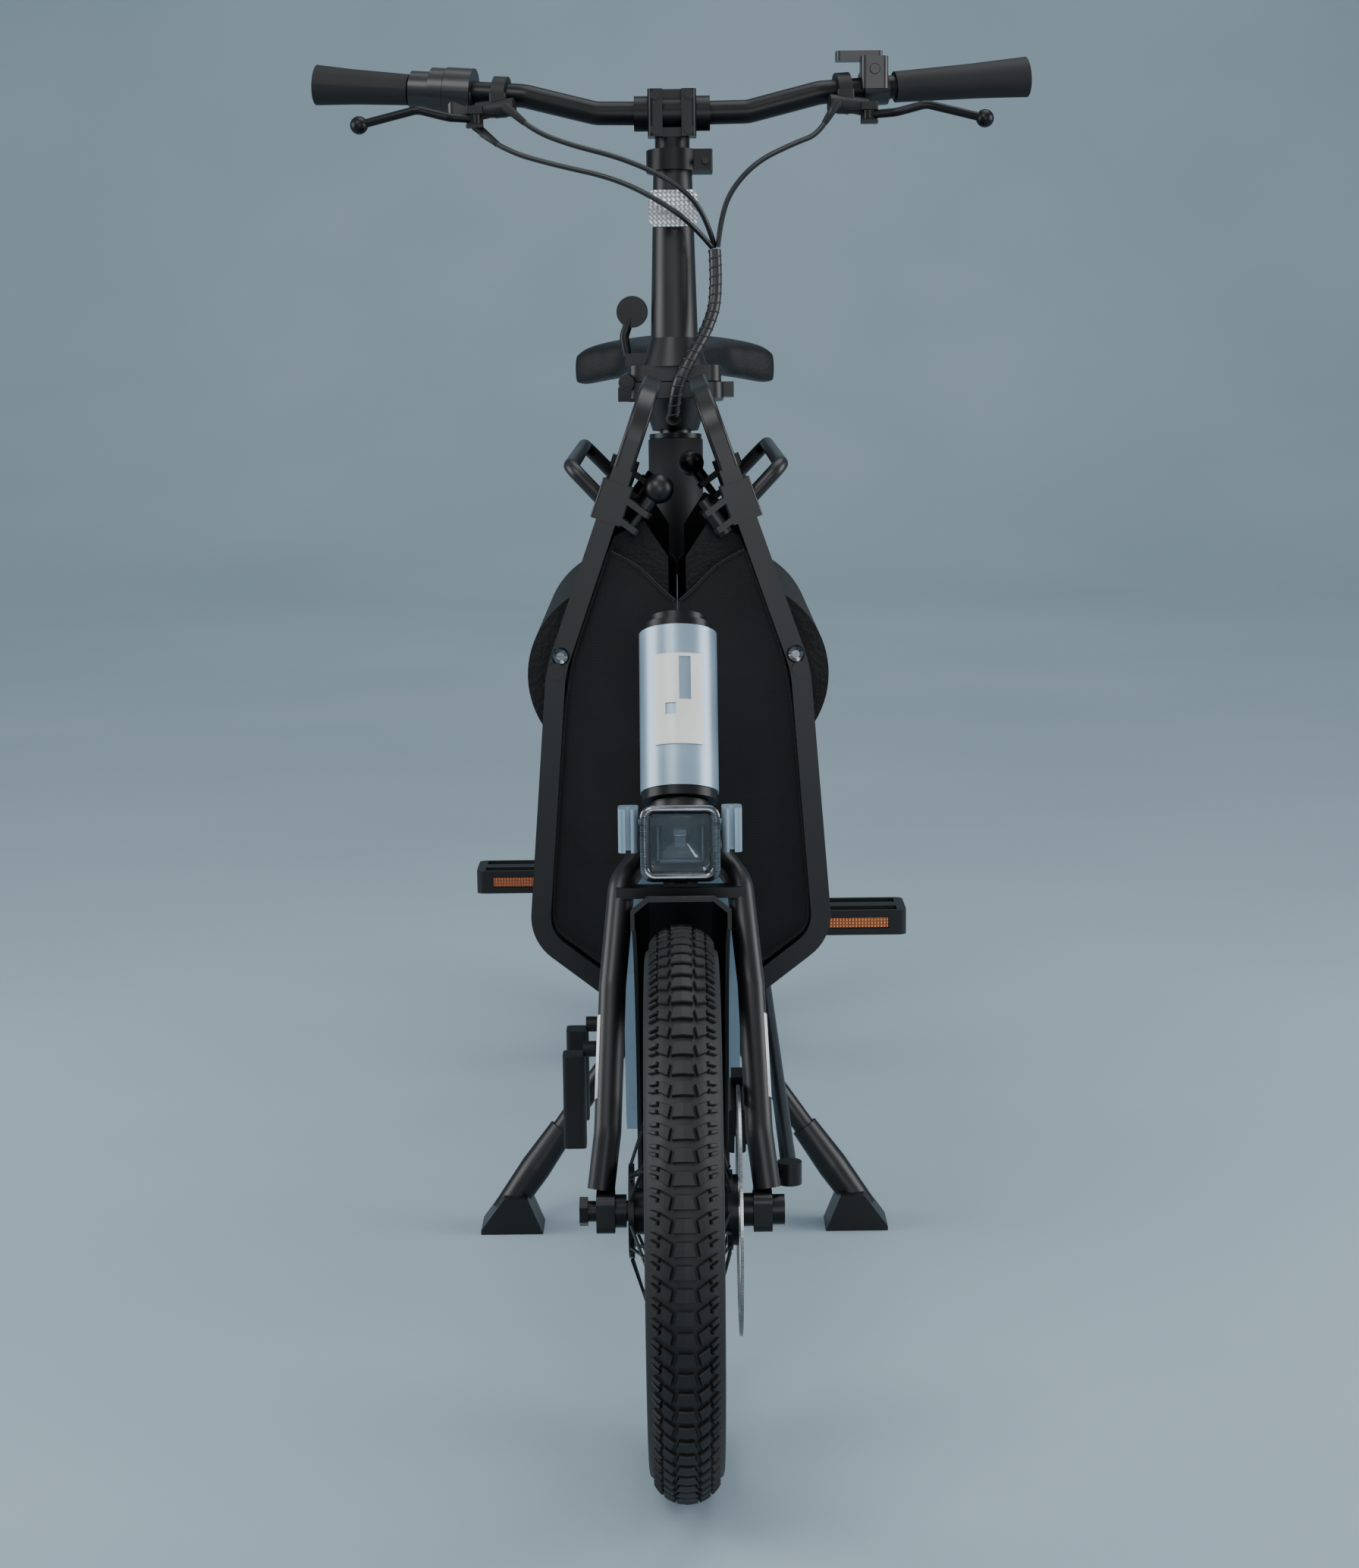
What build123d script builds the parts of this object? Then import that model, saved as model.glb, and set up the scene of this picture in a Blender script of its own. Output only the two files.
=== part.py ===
from build123d import *
import os
from math import cos, pi, radians, sin, tan

# A front-loading cargo bicycle with a folding basket between the head tube and the
# handlepost. X points to the rider's left, -Y is forward, Z is up. The origin is on the
# ground, under the middle of the bicycle. The basket is stored folded.

# ---- Driving dimensions (mm) ----
wheelbase = 1310
front_wheel_radius = 207
rear_wheel_radius = 258
tyre_width = 54
fender_gap = 17
fender_wall = 3
fork_spacing = 100
rotor_diameter = 180
head_angle = 23.2
head_tube_diameter = 60
head_tube_length = 126
column_angle = 6
column_foot = 711.5
post_hinge_height = 783
post_length = 214
bar_width = 680
bar_diameter = 22.2
basket_length = 388
basket_tube = 16
basket_top_height = 783
basket_corner = (115, 349)
basket_elbow = (98, 566)
basket_axis_height = 260
beam_width = 92
beam_height = 48
beam_bottom = 192
crank_height = 262
crank_length = 148
crank_rest_angle = -3
saddle_height = 825
saddle_width = 223
running_gap = 0.4
clear = 1.0

# ---- Derived places ----
fender_radius = rear_wheel_radius + fender_gap
front_axle_y = -(wheelbase + fender_radius - front_wheel_radius) / 2


def back(distance):
    """The Y of a point this far behind the front axle."""
    return front_axle_y + distance


rear_axle_y = back(wheelbase)
front_axle = (0, front_axle_y, front_wheel_radius)
rear_axle = (0, rear_axle_y, rear_wheel_radius)
head_middle = Vector(0, back(180), 545)
head_axis = Vector(0, sin(radians(head_angle)), cos(radians(head_angle)))
column_axis = Vector(0, sin(radians(column_angle)), cos(radians(column_angle)))
column_zero = Vector(0, back(column_foot), 250)


def along_head(distance):
    """A point on the steering axis, measured up from the head tube's middle."""
    return head_middle + head_axis * distance


def on_column(height):
    """The point of the handlebar column's axis at this height."""
    return column_zero + column_axis * ((height - column_zero.Z) / column_axis.Z)


def across(origin, axis, side=Vector(1, 0, 0)):
    """A sketch plane at origin whose normal is axis and whose X is the rider's left."""
    return Plane(origin=origin, x_dir=side, z_dir=axis)


def tube(points, bend, diameter):
    """Add a round bar along straight runs with rounded corners."""
    with BuildLine(mode=Mode.PRIVATE) as path:
        if bend:
            FilletPolyline(*points, radius=bend)
        else:
            Polyline(*points)
    with BuildSketch(Plane(origin=path.line @ 0, z_dir=path.line % 0), mode=Mode.PRIVATE) as ring:
        Circle(diameter / 2)
    sweep(sections=ring.sketch, path=path.line)


def rod(start, end, diameter, mode=Mode.ADD):
    """Add a straight round bar between two points."""
    start, end = Vector(*start), Vector(*end)
    with BuildSketch(Plane(origin=start, z_dir=end - start), mode=Mode.PRIVATE) as disc:
        Circle(diameter / 2)
    extrude(disc.sketch, amount=(end - start).length, mode=mode)


def cone(start, end, first, second, mode=Mode.ADD):
    """Add a straight round bar whose diameter changes from first to second."""
    start, end = Vector(*start), Vector(*end)
    plane = Plane(origin=start, z_dir=end - start)
    with BuildSketch(plane, mode=Mode.PRIVATE) as near:
        Circle(first / 2)
    with BuildSketch(plane.offset((end - start).length), mode=Mode.PRIVATE) as far:
        Circle(second / 2)
    loft([near.sketch.faces()[0], far.sketch.faces()[0]], mode=mode)


def block(centre, size, plane=Plane.XY, mode=Mode.ADD, edge=0):
    """Add a box turned to a plane's axes, its centre given in the row's frame."""
    turned = Plane(origin=centre, x_dir=plane.x_dir, z_dir=plane.z_dir)
    with BuildSketch(turned.offset(-size[2] / 2), mode=Mode.PRIVATE) as outline:
        if edge:
            RectangleRounded(size[0], size[1], edge)
        else:
            Rectangle(size[0], size[1])
    extrude(outline.sketch, amount=size[2], mode=mode)


def ring(centre, axis, outer, inner, width):
    """Add a washer-shaped ring, centred on a point of its axis."""
    start = Vector(*centre) - Vector(*axis).normalized() * (width / 2)
    with BuildSketch(Plane(origin=start, z_dir=axis), mode=Mode.PRIVATE) as washer:
        Circle(outer / 2)
        if inner:
            Circle(inner / 2, mode=Mode.SUBTRACT)
    extrude(washer.sketch, amount=width)


def save(part, name):
    """Label one finished node and write its STEP file."""
    part.part.label = name
    export_step(part.part, f"parts/{name}.step")


os.makedirs("parts", exist_ok=True)
left = Vector(1, 0, 0)

# ================= Wheels =================
hub_flange = 68
spoke_diameter = 2.4
axle_diameter = 15
rotor_side = 40
chain_side = -56
sprocket_radius = 37
rotor_thickness = 2


def wheel_profile(axle):
    """The half plane through a wheel's axle in which its section is drawn."""
    return Plane(origin=axle, x_dir=(0, 0, 1), z_dir=(0, -1, 0))


def make_tyre(name, axle, radius):
    crown = radius - tyre_width / 2
    with BuildPart() as tyre:
        with BuildSketch(wheel_profile(axle)):
            with Locations((crown, 0)):
                Circle(tyre_width / 2)
                Circle(tyre_width / 2 - 5, mode=Mode.SUBTRACT)
            with Locations((crown - tyre_width / 2, 0)):
                Rectangle(16, 22, mode=Mode.SUBTRACT)
        revolve(axis=Axis(axle, left))
    save(tyre, name)


def make_rim(name, axle, radius, spokes):
    crown = radius - tyre_width / 2
    edge = crown - tyre_width / 2 + 8 - clear / 2
    with BuildPart() as rim:
        with BuildSketch(wheel_profile(axle)):
            with Locations((edge - 9, 0)):
                RectangleRounded(17, 21, 3)
                Rectangle(11, 15, mode=Mode.SUBTRACT)
        revolve(axis=Axis(axle, left))
        for i in range(spokes):
            turn = radians(360 / spokes * i)
            cross = radians(28 if i % 4 < 2 else -28)
            side = 33 if i % 2 else -38
            hub_reach = 30.6 if i % 2 else hub_flange / 2 + 1.6
            hub_end = Vector(side, sin(turn) * hub_reach, cos(turn) * hub_reach) + Vector(*axle)
            rim_reach = edge - 17.5
            rim_end = Vector(side / 12, sin(turn + cross) * rim_reach, cos(turn + cross) * rim_reach)
            rod(hub_end, rim_end + Vector(*axle), spoke_diameter)
    save(rim, name)


def make_hub(name, axle, bolt_side, sprocket):
    with BuildPart() as hub:
        for width, centre, outer in ((76, 0, 34), (4, -38, hub_flange), (4, 33, 58), (6, 36, 51)):
            ring(Vector(centre, 0, 0) + Vector(*axle), left, outer, axle_diameter + running_gap, width)
        if sprocket:
            ring(Vector(-47, 0, 0) + Vector(*axle), left, 40, axle_diameter + running_gap, 22)
            ring(Vector(chain_side, 0, 0) + Vector(*axle), left, 2 * sprocket_radius, axle_diameter, 3)
            rotor_shape(axle, 160, bolt_side)
    save(hub, name)


def rotor_shape(axle, diameter, side):
    """A slotted brake disc on six arms, with its bolt circle."""
    plane = Plane(origin=Vector(side - rotor_thickness / 2, 0, 0) + Vector(*axle), z_dir=left)
    with BuildSketch(plane, mode=Mode.PRIVATE) as disc:
        Circle(diameter / 2)
        Circle(diameter / 2 - 15, mode=Mode.SUBTRACT)
        with PolarLocations(diameter / 2 - 7.5, 36):
            Circle(2.6, mode=Mode.SUBTRACT)
        Circle(26)
        with PolarLocations(diameter / 4 + 8, 6):
            Rectangle(diameter / 2 - 28, 7)
        Circle(axle_diameter / 2 + 6, mode=Mode.SUBTRACT)
    extrude(disc.sketch, amount=rotor_thickness)


make_tyre("front_tyre", front_axle, front_wheel_radius)
make_rim("front_rim", front_axle, front_wheel_radius, 24)
make_hub("front_hub", front_axle, rotor_side, False)
with BuildPart() as front_rotor:
    rotor_shape(front_axle, rotor_diameter, rotor_side)
save(front_rotor, "front_rotor")
make_tyre("rear_tyre", rear_axle, rear_wheel_radius)
make_rim("rear_rim", rear_axle, rear_wheel_radius, 32)
make_hub("rear_hub", rear_axle, rotor_side, True)

# ================= Fork =================
dropout_thickness = 13.5
leg_diameter = 20
dropout_side = fork_spacing / 2 + dropout_thickness / 2
crown_height = -90
steerer_diameter = 28.6
link_side = 78
link_height = 222
axle_nut = 12
fork_lug = Vector(link_side, back(180 - (545 - link_height) * tan(radians(head_angle))), link_height)

with BuildPart() as fork:
    crown = along_head(crown_height)
    for side in (-1, 1):
        block((side * dropout_side, front_axle_y, front_wheel_radius), (28, 28, dropout_thickness),
              Plane.YZ, edge=6)
        leg = [
            (side * (dropout_side + 3.4), front_axle_y + 4, front_wheel_radius + 15),
            (side * 55, back(14), 262),
            (side * 51, back(62), 360),
            (side * 44, back(106), 428),
            (side * 12, crown.Y, crown.Z + 2),
        ]
        tube(leg, 30, leg_diameter)
    rod(crown - head_axis * 14, crown + head_axis * 19, 44)
    rod(crown + head_axis * 18, along_head(head_tube_length / 2 + 10), steerer_diameter)
    block((0, back(97), 423), (96, 16, 8))
    rod((dropout_side, fork_lug.Y, link_height), (link_side - 14, fork_lug.Y, link_height), 14)
    rod((dropout_side - 2, front_axle_y + 6, front_wheel_radius + 8),
        (dropout_side + 3, fork_lug.Y, link_height), 12)
    rod((-80, front_axle_y, front_wheel_radius), (80, front_axle_y, front_wheel_radius),
        axle_diameter + 0.2, mode=Mode.SUBTRACT)
save(fork, "fork")

with BuildPart() as front_axle_pin:
    rod((-fork_spacing / 2 - dropout_thickness - axle_nut, front_axle_y, front_wheel_radius),
        (fork_spacing / 2 + dropout_thickness + 6, front_axle_y, front_wheel_radius), axle_diameter)
    ring((fork_spacing / 2 + dropout_thickness + 4.6, front_axle_y, front_wheel_radius), left, 22, 0, 9)
    with BuildSketch(Plane(origin=(-fork_spacing / 2 - dropout_thickness - 6.2, front_axle_y,
                                   front_wheel_radius), z_dir=(-1, 0, 0))):
        RegularPolygon(11, 6)
    extrude(amount=6)
    for side in (-1, 1):
        ring((side * (fork_spacing / 2 - 4.2), front_axle_y, front_wheel_radius), left, 24,
             axle_diameter, 8)
save(front_axle_pin, "front_axle")


def make_fender(name, axle, radius, first, last, width):
    """A U-section mudguard: an arc of a revolved channel with sloped shoulders."""
    start = radians(first)
    lip = Plane(origin=axle, x_dir=(0, sin(start), cos(start)), z_dir=(0, -cos(start), sin(start)))
    with BuildPart() as fender:
        with BuildSketch(lip):
            with BuildLine():
                Polyline((radius - 22, -width / 2), (radius - 9, -width / 2), (radius, -width / 2 + 11),
                         (radius, width / 2 - 11), (radius - 9, width / 2), (radius - 22, width / 2))
            trace(line_width=fender_wall)
        revolve(axis=Axis(axle, (-1, 0, 0)), revolution_arc=last - first)
    save(fender, name)


fender_width = 70
make_fender("front_fender", front_axle, front_wheel_radius + fender_gap + 2, 5, 104, fender_width)

# ================= Headlight and front brake =================
lamp = Vector(0, back(92), 464)
lamp_width = 59
lamp_height = 57
lamp_depth = 46
lens_depth = 5
lamp_face = Plane(origin=(lamp.X, lamp.Y - lamp_depth / 2, lamp.Z), x_dir=(1, 0, 0), z_dir=(0, -1, 0))

with BuildPart() as headlight_body:
    with BuildSketch(lamp_face):
        RectangleRounded(lamp_width, lamp_height, 9)
    with BuildSketch(lamp_face.offset(-lamp_depth)):
        RectangleRounded(lamp_width - 20, lamp_height - 18, 8)
    loft()
    with BuildSketch(lamp_face.offset(-lens_depth - 20)):
        RectangleRounded(lamp_width - 14, lamp_height - 12, 6)
    extrude(amount=lens_depth + 25, mode=Mode.SUBTRACT)
    for side in (-1, 1):
        block((side * 7, lamp.Y + 4, lamp.Z - lamp_height / 2 - 3), (4, 12, 9))
    block((0, lamp.Y + 4, lamp.Z - lamp_height / 2 - 6.6), (26, 14, 2.4))
save(headlight_body, "headlight_body")

with BuildPart() as headlight_lens:
    with BuildSketch(lamp_face.offset(-lens_depth - 1)):
        RectangleRounded(lamp_width - 14.6, lamp_height - 12.6, 5.7)
    extrude(amount=lens_depth)
save(headlight_lens, "headlight_lens")


def make_caliper(name, axle, angle, diameter):
    """A brake caliper astride the disc, on its post mount."""
    turn = radians(angle)
    reach = diameter / 2 - 6
    centre = Vector(rotor_side, sin(turn) * reach, cos(turn) * reach) + Vector(*axle)
    plane = Plane(origin=centre, x_dir=(1, 0, 0), z_dir=(0, sin(turn), cos(turn)))
    outward = Vector(0, sin(turn), cos(turn))
    with BuildPart() as caliper:
        block(centre, (13, 54, 30), plane, edge=3)
        block(centre - outward * 4, (4, 60, 34), plane, mode=Mode.SUBTRACT)
        block(centre + Vector(9.5, 0, 0), (8, 44, 22), plane, edge=3)
        block(centre + outward * 12, (9, 74, 9), plane)
        rod(centre + Vector(2, 0, 0), centre + Vector(15, 0, 0), 17)
        if angle > 0:
            rod(centre + outward * 12, centre + outward * 26, 8)
    save(caliper, name)


make_caliper("front_caliper", front_axle, 52, rotor_diameter)
make_caliper("rear_caliper", rear_axle, -58, 160)

# ================= Main frame =================
head_wall = 4.5
beam_top = beam_bottom + beam_height
beam_end = back(786)
pivot_rod_diameter = 12
basket_front = back(290)
basket_rear = basket_front + basket_length
carrier_width = 8
column_bore = 38
column_head_diameter = 50
column_head_top = 728
seat_tube_diameter = 34
seat_tube_top = 560
seat_angle = 24
bottom_bracket = Vector(0, back(870), crank_height)
seat_axis = Vector(0, sin(radians(seat_angle)), cos(radians(seat_angle)))
stay_side = 72
shell_diameter = 50
spindle_diameter = 22


def on_seat_tube(height):
    """The point of the seat tube's axis at this height."""
    return bottom_bracket + seat_axis * ((height - crank_height) / seat_axis.Z)


stand_y = back(625)
stand_height = 178
stand_reach = 190
with BuildPart() as front_frame:
    rod(along_head(-head_tube_length / 2), along_head(head_tube_length / 2), head_tube_diameter)
    with BuildSketch(Plane.YZ):
        with BuildLine():
            Polyline((back(190), 592), (back(240), 480), (back(270), 340), (back(270), beam_top),
                     (beam_end, beam_top), (beam_end, beam_bottom),
                     (back(264), beam_bottom), (back(240), 214), (back(236), 250), (back(226), 330),
                     (back(176), 500), (back(190), 592))
        make_face()
    extrude(amount=beam_width / 2, both=True)
    with BuildSketch(Plane(origin=(0, back(100), 0), x_dir=(1, 0, 0), z_dir=(0, -1, 0))):
        with BuildLine():
            Polyline((-19, 640), (19, 640), (24, 480), (beam_width / 2, 330), (beam_width / 2, 120),
                     (-beam_width / 2, 120), (-beam_width / 2, 330), (-24, 480), (-19, 640))
        make_face()
    extrude(amount=-1000, mode=Mode.INTERSECT)
    rod(along_head(-head_tube_length / 2), along_head(head_tube_length / 2), head_tube_diameter)
    rod(along_head(-head_tube_length / 2 - 3), along_head(head_tube_length / 2 + 3),
        head_tube_diameter - 2 * head_wall, mode=Mode.SUBTRACT)
    rod(on_column(beam_bottom - 60), on_column(beam_top + 60), column_head_diameter + 0.2,
        mode=Mode.SUBTRACT)
    block((0, stand_y, stand_height + 10), (92, 44, 9), edge=4)
    for side in (-1, 1):
        block((side * 40, stand_y, stand_height), (6, 30, 24))
    rod((-60, stand_y, stand_height), (60, stand_y, stand_height), 12 + running_gap, mode=Mode.SUBTRACT)
save(front_frame, "front_frame")

guide_height = 470
with BuildPart() as cable_guides:
    for side in (-1, 1):
        block((side * 38.5, back(99), guide_height), (15, 20, 33), edge=4)
        block((side * 38.5, back(94), guide_height), (4, 14, 40), mode=Mode.SUBTRACT)
        rod((side * 34, back(108), guide_height), (side * 19, back(134), guide_height), 9)
save(cable_guides, "cable_guides")

with BuildPart() as rear_frame:
    rod(on_column(beam_bottom - 6), on_column(column_head_top), column_head_diameter)
    rod(on_seat_tube(crank_height - 10), on_seat_tube(seat_tube_top), seat_tube_diameter)
    tube([on_column(620) + Vector(0, 10, 0), (0, back(860), 545), on_seat_tube(515)], 60, 36)
    rod((-38, bottom_bracket.Y, crank_height), (38, bottom_bracket.Y, crank_height), shell_diameter)
    block((0, back(815), beam_top + 11), (60, 90, 21))
    for side in (-1, 1):
        stay_end = Vector(side * stay_side, rear_axle_y, rear_wheel_radius)
        tube([(side * 30, back(892), 250), (side * 44, back(960), 246),
              (side * stay_side, back(1140), 250), stay_end - Vector(0, 12, 0)], 60, 18)
        tube([on_seat_tube(seat_tube_top - 30) + Vector(side * 12, 6, 0), (side * stay_side, back(1150), 400),
              stay_end + Vector(0, -4, 10)], 60, 16)
        block(stay_end, (34, 34, 8), Plane.YZ, edge=8)
    rod((-stay_side - 14, rear_axle_y, rear_wheel_radius), (stay_side + 14, rear_axle_y, rear_wheel_radius), 12)
    rod((-42, back(980), 247), (42, back(980), 247), 14)
    rod((-60, bottom_bracket.Y, crank_height), (60, bottom_bracket.Y, crank_height), spindle_diameter + running_gap,
        mode=Mode.SUBTRACT)
    rod(on_column(beam_bottom - 40), on_column(column_head_top + 20), column_bore, mode=Mode.SUBTRACT)
    rod(on_seat_tube(340), on_seat_tube(seat_tube_top + 20), 27.6, mode=Mode.SUBTRACT)
    rod(on_column(beam_bottom - 80), on_column(beam_bottom - 6), 80, mode=Mode.SUBTRACT)
save(rear_frame, "rear_frame")

with BuildPart() as pivot_rod:
    carrier_face = basket_front - basket_tube / 2 - clear
    block((0, carrier_face - carrier_width / 2, (basket_axis_height + 8 + beam_top) / 2),
          (24, carrier_width, basket_axis_height + 8 - beam_top))
    rod((0, carrier_face - carrier_width, basket_axis_height),
        (0, on_column(basket_axis_height).Y - column_head_diameter / 2 - clear, basket_axis_height),
        pivot_rod_diameter)
save(pivot_rod, "basket_pivot_rod")

# ================= Headset, badge, motor, battery =================
with BuildPart() as bearings:
    for low, high, outer in ((-70, -63, 58), (63, 70, 52), (70, 76, 44)):
        ring(along_head((low + high) / 2), head_axis, outer, steerer_diameter + running_gap, high - low)
    for height in (column_head_top + 2.8, beam_bottom - 9.2):
        ring(on_column(height), column_axis, 50, 30 + running_gap, 4.6)
save(bearings, "headset_bearings")

badge_width = 36
badge_height = 71
badge_wall = 1.2
head_front = across((0, 0, 0), head_axis)
with BuildPart() as head_badge:
    ring(along_head(4), head_axis, head_tube_diameter + 2 * badge_wall, head_tube_diameter + 0.1,
         badge_height)
    block(along_head(4) - Vector(0, 30, 0) * cos(radians(head_angle)), (badge_width, 40, badge_height + 30),
          head_front, mode=Mode.INTERSECT, edge=2)
    slot_centre = along_head(20) - Vector(0, cos(radians(head_angle)), -sin(radians(head_angle))) * 30
    block(slot_centre + left * 5, (9, 40, 34), head_front, mode=Mode.SUBTRACT)
    block(slot_centre - left * 6 - head_axis * 24, (8, 40, 9), head_front, mode=Mode.SUBTRACT)
save(head_badge, "head_badge")

with BuildPart() as motor:
    with BuildSketch(Plane.YZ.offset(-46)):
        with Locations((bottom_bracket.Y - 6, beam_top - 34)):
            RectangleRounded(144, 67, 24)
    extrude(amount=92)
    rod((-50, bottom_bracket.Y, crank_height), (50, bottom_bracket.Y, crank_height), shell_diameter + 0.6,
        mode=Mode.SUBTRACT)
save(motor, "motor")

with BuildPart() as battery:
    middle = on_seat_tube(380) - Vector(0, 60, -8)
    block(middle, (76, 66, 150), across((0, 0, 0), seat_axis), edge=12)
save(battery, "battery")

with BuildPart() as seat_clamp:
    ring(on_seat_tube(seat_tube_top + 8), seat_axis, seat_tube_diameter + 8, 27.6, 15)
    block(on_seat_tube(seat_tube_top + 8) + Vector(0, 26, -11), (16, 20, 15), across((0, 0, 0), seat_axis))
    block(on_seat_tube(seat_tube_top + 8) + Vector(0, 28, -12), (3, 30, 30), across((0, 0, 0), seat_axis),
          mode=Mode.SUBTRACT)
save(seat_clamp, "seat_clamp")

make_fender("rear_fender", rear_axle, fender_radius, -62, 118, fender_width)

pad_side = 96
with BuildPart() as side_pads:
    for distance in (470, 560):
        block((-pad_side, back(distance), 160), (20, 24, 84), edge=4)
        rod((-pad_side + 8, back(distance), 206), (-beam_width / 2 - 0.3, back(distance), 206), 14)
save(side_pads, "side_pads")

chain_width = 8
chainring_radius = 74
with BuildPart() as chain:
    with BuildSketch(Plane(origin=(chain_side + chain_width / 2, 0, 0), x_dir=(0, 1, 0), z_dir=(1, 0, 0))):
        with BuildLine():
            big = CenterArc((bottom_bracket.Y, crank_height), chainring_radius + 5, 94.8, 170.4)
            small = CenterArc((rear_axle_y, rear_wheel_radius), sprocket_radius + 5, -85.2, 170.4)
            Line(big @ 0, small @ 1)
            Line(big @ 1, small @ 0)
        trace(line_width=5)
    extrude(amount=-chain_width)
save(chain, "chain")

# ================= Steering column and folding handlepost =================
post_top = post_hinge_height + post_length
hinge_side = -46
link_arm = on_column(link_height)
post_foot_diameter = 45
post_top_diameter = 36

with BuildPart() as steering_column:
    rod(on_column(beam_bottom - 52), on_column(post_hinge_height - 8), 30)
    ring(on_column(beam_bottom - 34), column_axis, 44, 0, 26)
    rod(on_column(beam_bottom - 36), (link_side - 2, link_arm.Y, 156), 18)
    rod((link_side, link_arm.Y, 150), (link_side, link_arm.Y, link_height - 9), 16)
    cone(on_column(737), on_column(post_hinge_height - 18), 44, 62)
    block(on_column(post_hinge_height - 10), (92, 52, 15), across((0, 0, 0), column_axis), edge=12)
    hinge_low = on_column(post_hinge_height)
    block(Vector(hinge_side, hinge_low.Y, post_hinge_height - 11.5), (16, 50, 13))
    rod((hinge_side, hinge_low.Y - 27, post_hinge_height), (hinge_side, hinge_low.Y - 13, post_hinge_height), 15)
    rod((hinge_side, hinge_low.Y + 13, post_hinge_height), (hinge_side, hinge_low.Y + 27, post_hinge_height), 15)
    rod((hinge_side, hinge_low.Y - 12.6, post_hinge_height), (hinge_side, hinge_low.Y + 12.6, post_hinge_height),
        16.4, mode=Mode.SUBTRACT)
    rod((hinge_side, hinge_low.Y - 29, post_hinge_height), (hinge_side, hinge_low.Y + 29, post_hinge_height), 8)
    rod(Vector(-2, back(753), 741), Vector(-2, back(733), 749.5), 14)
    block(on_column(post_hinge_height - 8) + left * 50, (12, 16, 14), across((0, 0, 0), column_axis))
save(steering_column, "steering_column")

latch_pivot = on_column(post_hinge_height + 21) - left * 43
with BuildPart() as handlepost:
    block(on_column(post_hinge_height + 6), (88, 50, 15), across((0, 0, 0), column_axis), edge=12)
    cone(on_column(post_hinge_height + 12), on_column(post_hinge_height + 40), 64, post_foot_diameter)
    cone(on_column(post_hinge_height + 40), on_column(post_top), post_foot_diameter, post_top_diameter)
    rod((hinge_side, hinge_low.Y - 30, post_hinge_height), (hinge_side, hinge_low.Y + 30, post_hinge_height),
        16.4, mode=Mode.SUBTRACT)
    rod((hinge_side, hinge_low.Y - 12.2, post_hinge_height), (hinge_side, hinge_low.Y + 12.2, post_hinge_height), 15)
    block((hinge_side + 7, hinge_low.Y, post_hinge_height + 4), (14, 24, 8), edge=2)
    rod((hinge_side, hinge_low.Y - 13, post_hinge_height), (hinge_side, hinge_low.Y + 13, post_hinge_height),
        8 + running_gap, mode=Mode.SUBTRACT)
    rod(on_column(post_hinge_height + 60), on_column(post_top + 5), 33.4, mode=Mode.SUBTRACT)
    for side in (-1, 1):
        block(latch_pivot + Vector(8, side * 10.6, 0), (24, 4, 12))
    rod(latch_pivot - Vector(0, 12, 0), latch_pivot + Vector(0, 12, 0), 5)
save(handlepost, "handlepost")

reflector_height = 944
with BuildPart() as reflector:
    front = on_column(reflector_height) - Vector(0, 27, 0)
    with BuildSketch(across(front, Vector(0, -1, 0.12))):
        RectangleRounded(46, 34, 6)
    extrude(amount=7)
    ring(on_column(reflector_height), column_axis, 46, 40, 14)
save(reflector, "reflector")

collar_height = 989
with BuildPart() as post_clamp:
    ring(on_column(collar_height), column_axis, 50, post_top_diameter + 1.2, 20)
    block(on_column(collar_height) + left * 28, (20, 30, 20), across((0, 0, 0), column_axis), edge=3)
    rod(on_column(collar_height) + Vector(31, -22, 0), on_column(collar_height) + Vector(31, 22, 0), 6)
    rod(on_column(collar_height - 16), on_column(collar_height + 16), post_top_diameter + 1.2,
        mode=Mode.SUBTRACT)
save(post_clamp, "post_clamp")

with BuildPart() as collar_lever:
    lever_foot = on_column(collar_height) + Vector(31, 23, 0)
    ring(lever_foot + Vector(0, 6, 0), (0, 1, 0), 15, 0, 11)
    block(lever_foot + Vector(-26, 7, 0), (44, 6, 13), edge=2)
save(collar_lever, "collar_lever")

with BuildPart() as latch_lever:
    latch_head = on_column(post_hinge_height + 66) - left * 40
    rod(latch_pivot - Vector(0, 8, 0), latch_pivot + Vector(0, 8, 0), 12)
    tube([latch_pivot - left * 2 + column_axis * 3, latch_pivot - left * 5 + column_axis * 22, latch_head], 12, 9)
    rod(latch_head - Vector(0, 5, 0), latch_head + Vector(0, 5, 0), 30)
    rod(latch_pivot - Vector(0, 9, 0), latch_pivot + Vector(0, 9, 0), 5 + running_gap, mode=Mode.SUBTRACT)
save(latch_lever, "latch_lever")

# ================= Stem, handlebar and controls =================
inner_post_diameter = 33
stem_height = 1034
clamp_diameter = 33
stem_centre = on_column(stem_height)
bar_y = stem_centre.Y - 4
grip_length = 128
grip_diameter = 33

with BuildPart() as stem:
    rod(on_column(post_hinge_height + 75), on_column(stem_height - 18), inner_post_diameter)
    cone(on_column(stem_height - 21), on_column(stem_height - 8), inner_post_diameter + 5, 40)
    block((0, bar_y + 12, stem_height), (46, 24, 44))
    block((0, bar_y - 20, stem_height), (50, 40, 45), mode=Mode.SUBTRACT)
    rod((-24, bar_y, stem_height), (24, bar_y, stem_height), clamp_diameter + 0.2, mode=Mode.SUBTRACT)
save(stem, "stem")

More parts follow.
